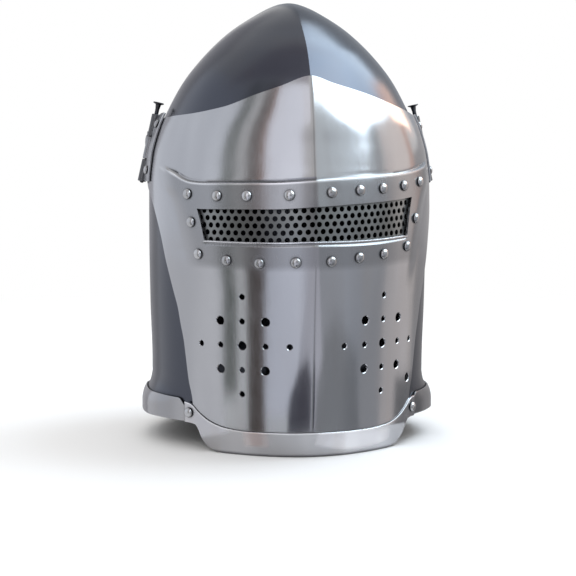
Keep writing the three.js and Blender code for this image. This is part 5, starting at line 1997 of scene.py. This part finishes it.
@dataclass
class Studio:
    """The floor, the white surround, the soft lamps and the camera."""

    form: Form
    frame_pixels: float = 576
    focal_pixels: float = 1375
    sensor: float = 36
    distance: float = 1.150
    azimuth: float = -9.3
    eye_height: float = 210.5 * MM
    dip: float = 4.49
    yaw_pixels: float = -1.1
    floor_size: float = 12
    floor_tone: float = 0.93
    fade_from: float = 0.3
    fade_to: float = 1.4
    fill: float = 0.75
    lamp_distance: float = 1.6
    card_distance: float = 3.0
    card_step: float = 0.04
    strip_turn: float = 0.75
    strip_share: float = 0.3
    strip_steps: int = 301
    floor_lift: float = 1 * MM

    def build(self) -> None:
        """Builds the whole studio."""
        self.build_floor()
        self.build_world()
        self.build_lamps()
        self.build_cards()
        self.build_camera()

    @staticmethod
    def seen(tree: Tree) -> Socket:
        """Tells what the camera sees, straight or in metal or glass, from the rest.

        Args:
            tree: The tree that asks.

        Returns:
            1 for what it sees.
        """
        path = tree.node("ShaderNodeLightPath")
        camera, glossy, through = (
            Socket(tree, path.outputs[name])
            for name in ("Is Camera Ray", "Is Glossy Ray", "Is Transmission Ray")
        )
        return tree.math("MAXIMUM", tree.math("MAXIMUM", camera, glossy), through)

    def build_floor(self) -> None:
        """The pale floor, which fades to plain white away from the helmet."""
        bpy.ops.mesh.primitive_plane_add(size=self.floor_size)
        floor = Bench.started("floor")
        made, tree = material("pale_floor")
        place = tree.out("ShaderNodeTexCoord", output="Object")
        length = tree.out("ShaderNodeVectorMath", {"operation": "LENGTH"}, {0: place}, "Value")
        far = tree.step(length, self.fade_from, self.fade_to)
        tone = (self.floor_tone,) * 3 + (1,)
        near = tree.out("ShaderNodeBsdfDiffuse", {}, {"Color": tone})
        white = tree.out("ShaderNodeEmission", {}, {"Color": WHITE, "Strength": 1})
        mixed = tree.out("ShaderNodeMixShader", {}, {0: far * self.seen(tree), 1: near, 2: white})
        tree.node("ShaderNodeOutputMaterial", {}, {"Surface": mixed})
        floor.data.materials.append(made)

    def build_world(self) -> None:
        """White where it is seen, softer where it only lights."""
        world = bpy.data.worlds.new("white_surround")
        bpy.context.scene.world = world
        world.use_nodes = True
        tree = Tree(world.node_tree)
        strength = self.fill + self.seen(tree) * (1 - self.fill)
        light = tree.out("ShaderNodeBackground", {}, {"Color": WHITE, "Strength": strength})
        tree.node("ShaderNodeOutputWorld", {}, {"Surface": light})

    @staticmethod
    def towards(azimuth: float, elevation: float, distance: float) -> Vector:
        """A place seen from the helmet in a direction.

        Args:
            azimuth: Degrees from the front.
            elevation: Degrees over the level.
            distance: How far away.

        Returns:
            The place.
        """
        around, above = math.radians(azimuth), math.radians(elevation)
        level = distance * math.cos(above)
        return Vector((level * math.sin(around), -level * math.cos(around), distance * math.sin(above)))

    def build_lamps(self) -> None:
        """Soft lamps, which light the floor and the leather; the polish mirrors the cards instead."""
        # Name, azimuth and elevation in degrees, width and height, power, tone
        lamps = [
            ("right_lamp", 100, 58, (0.95, 0.95), 15, (0.8, 0.9, 1)),
            ("front_lamp", -35, 38, (1.4, 1.0), 5, (1, 0.99, 0.97)),
            ("back_lamp", 190, 40, (1.4, 1.0), 7, (1, 0.99, 0.98)),
        ]
        for name, azimuth, elevation, size, power, tone in lamps:
            data = bpy.data.lights.new(name, "AREA")
            data.shape = "RECTANGLE"
            data.size, data.size_y = size
            data.energy = power
            data.color = tone
            lamp = bpy.data.objects.new(name, data)
            bpy.context.scene.collection.objects.link(lamp)
            place = self.towards(azimuth, elevation, self.lamp_distance)
            lamp.location = place + UP * self.eye_height
            lamp.rotation_euler = (-place).to_track_quat("-Z", "Y").to_euler()
            lamp.visible_glossy = False

    def build_cards(self) -> None:
        """The cards round the helmet: a bright window, a ceiling, and strips that run in along the floor."""
        # Hung over the floor: name, light, corners as azimuth and elevation in degrees
        hung = [
            ("window", (4.8, 5.6, 6.1), [
                (27, 34), (40, 33), (52, 25.5), (62, 18.5), (70, 16), (77, 19.5), (88, 22), (104, 24),
                (118, 27), (131, 38), (139, 50), (145, 57), (146, 68), (90, 74), (45, 64), (27, 56),
            ]),
            ("ceiling", (0.74, 0.7, 0.75), [(-12, 41), (-95, 38), (-100, 60), (-150, 80), (20, 84)]),
            ("brow_board", (1.6, 1.62, 1.74), [
                (-42, -2), (-30, -2), (-24, 9), (-15, 20), (-8, 25), (-8, 42), (-42, 41),
            ]),
            ("warm_board", (4.6, 3.1, 2.4), [(106, 20), (125, 13), (127, 24), (107, 30)]),
            ("low_board", (0.6, 0.62, 0.66), [(36, -1), (84, -1), (84, 10), (68, 12), (50, 14), (36, 17)]),
            ("side_board", (0.5, 0.53, 0.58), [
                (128, 27), (134, 26), (134, 9), (176, 9), (176, 60), (142, 48), (128, 44),
            ]),
        ]
        # Strips: name, azimuths of the sides, elevation of the top, where the floor part starts, lights
        strips = [
            ("sky_strip", -146, -71, 36, 0.02, (1.06, 1.1, 1.18), (0.99, 1.0, 1.04)),
            ("green_strip", -71, -62, 44, 0.17, (0.36, 0.38, 0.37), (0.22, 0.24, 0.225)),
            ("brown_strip", -54.5, -46.5, 44, 0.02, (0.3, 0.27, 0.26), (0.13, 0.11, 0.1)),
            ("red_strip", -46.5, -41.5, 44, 0.02, (0.5, 0.27, 0.19), (0.14, 0.105, 0.09)),
            ("front_strip", -41.5, -16, 20, 0.1, (1.3, 1.3, 1.38), (1.08, 1.12, 1.25)),
            ("keel_strip", -16, 24, 16, 0.05, (0.42, 0.42, 0.46), (0.8, 0.82, 0.92)),
            ("blue_strip", 24, 64, 33, 0.05, (0.98, 1.07, 1.13), (0.57, 0.6, 0.66)),
            ("grey_strip", 64, 84, 20, 0.05, (0.66, 0.67, 0.68), (0.57, 0.58, 0.61)),
            ("beige_strip", 84, 112, 26, 0.05, (1.2, 1.08, 1.02), (0.9, 0.85, 0.84)),
            ("rust_strip", 112, 118, 26, 0.05, (0.9, 0.62, 0.53), (0.74, 0.69, 0.67)),
            ("far_strip", 118, 178, 9, 0.02, (0.5, 0.49, 0.5), (0.42, 0.41, 0.42)),
            ("left_strip", -178, -146, 42, 0.02, (0.55, 0.55, 0.59), (0.5, 0.5, 0.53)),
        ]
        # Laid on the floor parts: name, light, corners as azimuth and distance from the visor
        patches = [
            ("dark_patch", (0.1, 0.1, 0.13), [
                (-24, 0.05), (8, 0.05), (9, 0.15), (0, 0.21), (-14, 0.19), (-23, 0.13),
            ]),
            ("grey_patch", (0.36, 0.375, 0.4), [
                (13, 0.04), (68, 0.04), (62, 0.3), (46, 0.42), (30, 0.3), (15, 0.14),
            ]),
            ("rear_patch", (0.24, 0.24, 0.25), [(98, 0.04), (124, 0.04), (124, 0.36), (98, 0.26)]),
            ("chin_rust", (0.78, 0.72, 0.71), [(-62, 0), (-42, 0), (-43, 0.045), (-61, 0.045)]),
            ("chin_rust_core", (0.64, 0.53, 0.5), [(-57, 0), (-47, 0), (-47, 0.045), (-57, 0.045)]),
            ("chin_glow", (1.2, 1.23, 1.28), [(24, 0), (104, 0), (98, 0.026), (58, 0.03), (30, 0.022)]),
            ("chin_glow_core", (1.42, 1.47, 1.54), [(42, 0), (96, 0), (90, 0.018), (62, 0.02), (46, 0.012)]),
        ]
        for layer, (name, tone, corners) in enumerate(hung):
            away = self.card_distance - layer * self.card_step
            self.card(name, tone, [
                self.towards(azimuth, elevation, away) + UP * self.eye_height
                for azimuth, elevation in corners
            ])
        for name, start, end, top, start_away, tone, foot_tone in strips:
            near = [self.ahead(azimuth, start_away) for azimuth in (start, end)]
            far = [self.ahead(azimuth, self.card_distance) for azimuth in (start, end)]
            rise = UP * (self.card_distance * math.tan(math.radians(top)) + self.eye_height)
            self.card(f"{name}_floor", foot_tone, [*near, *far[::-1]])
            self.card(name, tone, [*far, far[1] + rise, far[0] + rise])
        for name, tone, corners in patches:
            self.card(name, tone, [self.ahead(*corner) + UP * self.floor_lift for corner in corners])

    def ahead(self, azimuth: float, away: float) -> Vector:
        """A place on the floor in front of the part of the visor that mirrors an azimuth to the camera.

        Args:
            azimuth: Degrees from the front.
            away: Distance from the plate.

        Returns:
            The place.
        """
        turns = np.linspace(-self.strip_turn, self.strip_turn, self.strip_steps)
        height = self.form.height * self.strip_share
        points, normals = self.form.lifted(self.form.visor, turns, height, 0)
        eye = self.towards(self.azimuth, 0, self.distance)
        facing = np.degrees(np.arctan2(normals[:, 0], -normals[:, 1]))
        seen = np.degrees(np.arctan2(eye.x - points[:, 0], points[:, 1] - eye.y))
        turn = np.interp(azimuth, 2 * facing - seen, turns)
        x, y, _ = self.form.visor(turn, height)
        return Vector((x, y, self.floor_lift)) + self.towards(azimuth, 0, away)

    @staticmethod
    def card(name: str, tone: Tone, corners: Sequence[Vector]) -> None:
        """One flat card that only polish shows.

        Args:
            name: Its name.
            tone: Its light; 1 is white.
            corners: Its corners in order.
        """
        bpy.ops.mesh.primitive_circle_add(vertices=len(corners), radius=1, fill_type="TRIFAN")
        card = Bench.started(name)
        middle = sum(corners, Vector()) / len(corners)
        Bench.move(card, np.array([middle, *corners]))
        made, tree = material(f"{name}_paint")
        peak = max(1, *tone)
        paint = tree.out("ShaderNodeEmission", {}, {"Color": (*dimmed(tone, 1 / peak), 1), "Strength": peak})
        tree.node("ShaderNodeOutputMaterial", {}, {"Surface": paint})
        card.data.materials.append(made)
        card.visible_camera = False
        card.visible_diffuse = False
        card.visible_shadow = False

    def build_camera(self) -> None:
        """The camera at the photograph's viewing angle."""
        data = bpy.data.cameras.new("camera")
        data.sensor_width = self.sensor
        data.lens = self.focal_pixels / self.frame_pixels * self.sensor
        camera = bpy.data.objects.new("camera", data)
        bpy.context.scene.collection.objects.link(camera)
        around = math.radians(self.azimuth)
        camera.location = (
            self.distance * math.sin(around), -self.distance * math.cos(around), self.eye_height,
        )
        yaw = math.atan(self.yaw_pixels / self.focal_pixels)
        camera.rotation_euler = (math.radians(90 - self.dip), 0, around + yaw)
        bpy.context.scene.camera = camera
        bpy.context.scene.view_settings.view_transform = "Standard"


def main() -> None:
    """Builds the helmet and its studio."""
    logging.basicConfig(level=logging.INFO, format="%(name)s %(message)s")
    bpy.ops.object.select_all(action="DESELECT")
    form = Form()
    Studio(form).build()
    finishes = Finishes()
    Skull(form, finishes).build()
    Visor(form, finishes).build()
    for side in Side:
        hinge = TempleHinge(form, finishes, side)
        hinge.build()
    Lining(form, finishes, arm_inside=hinge.arm_inside).build()


if __name__ == "__main__":
    main()
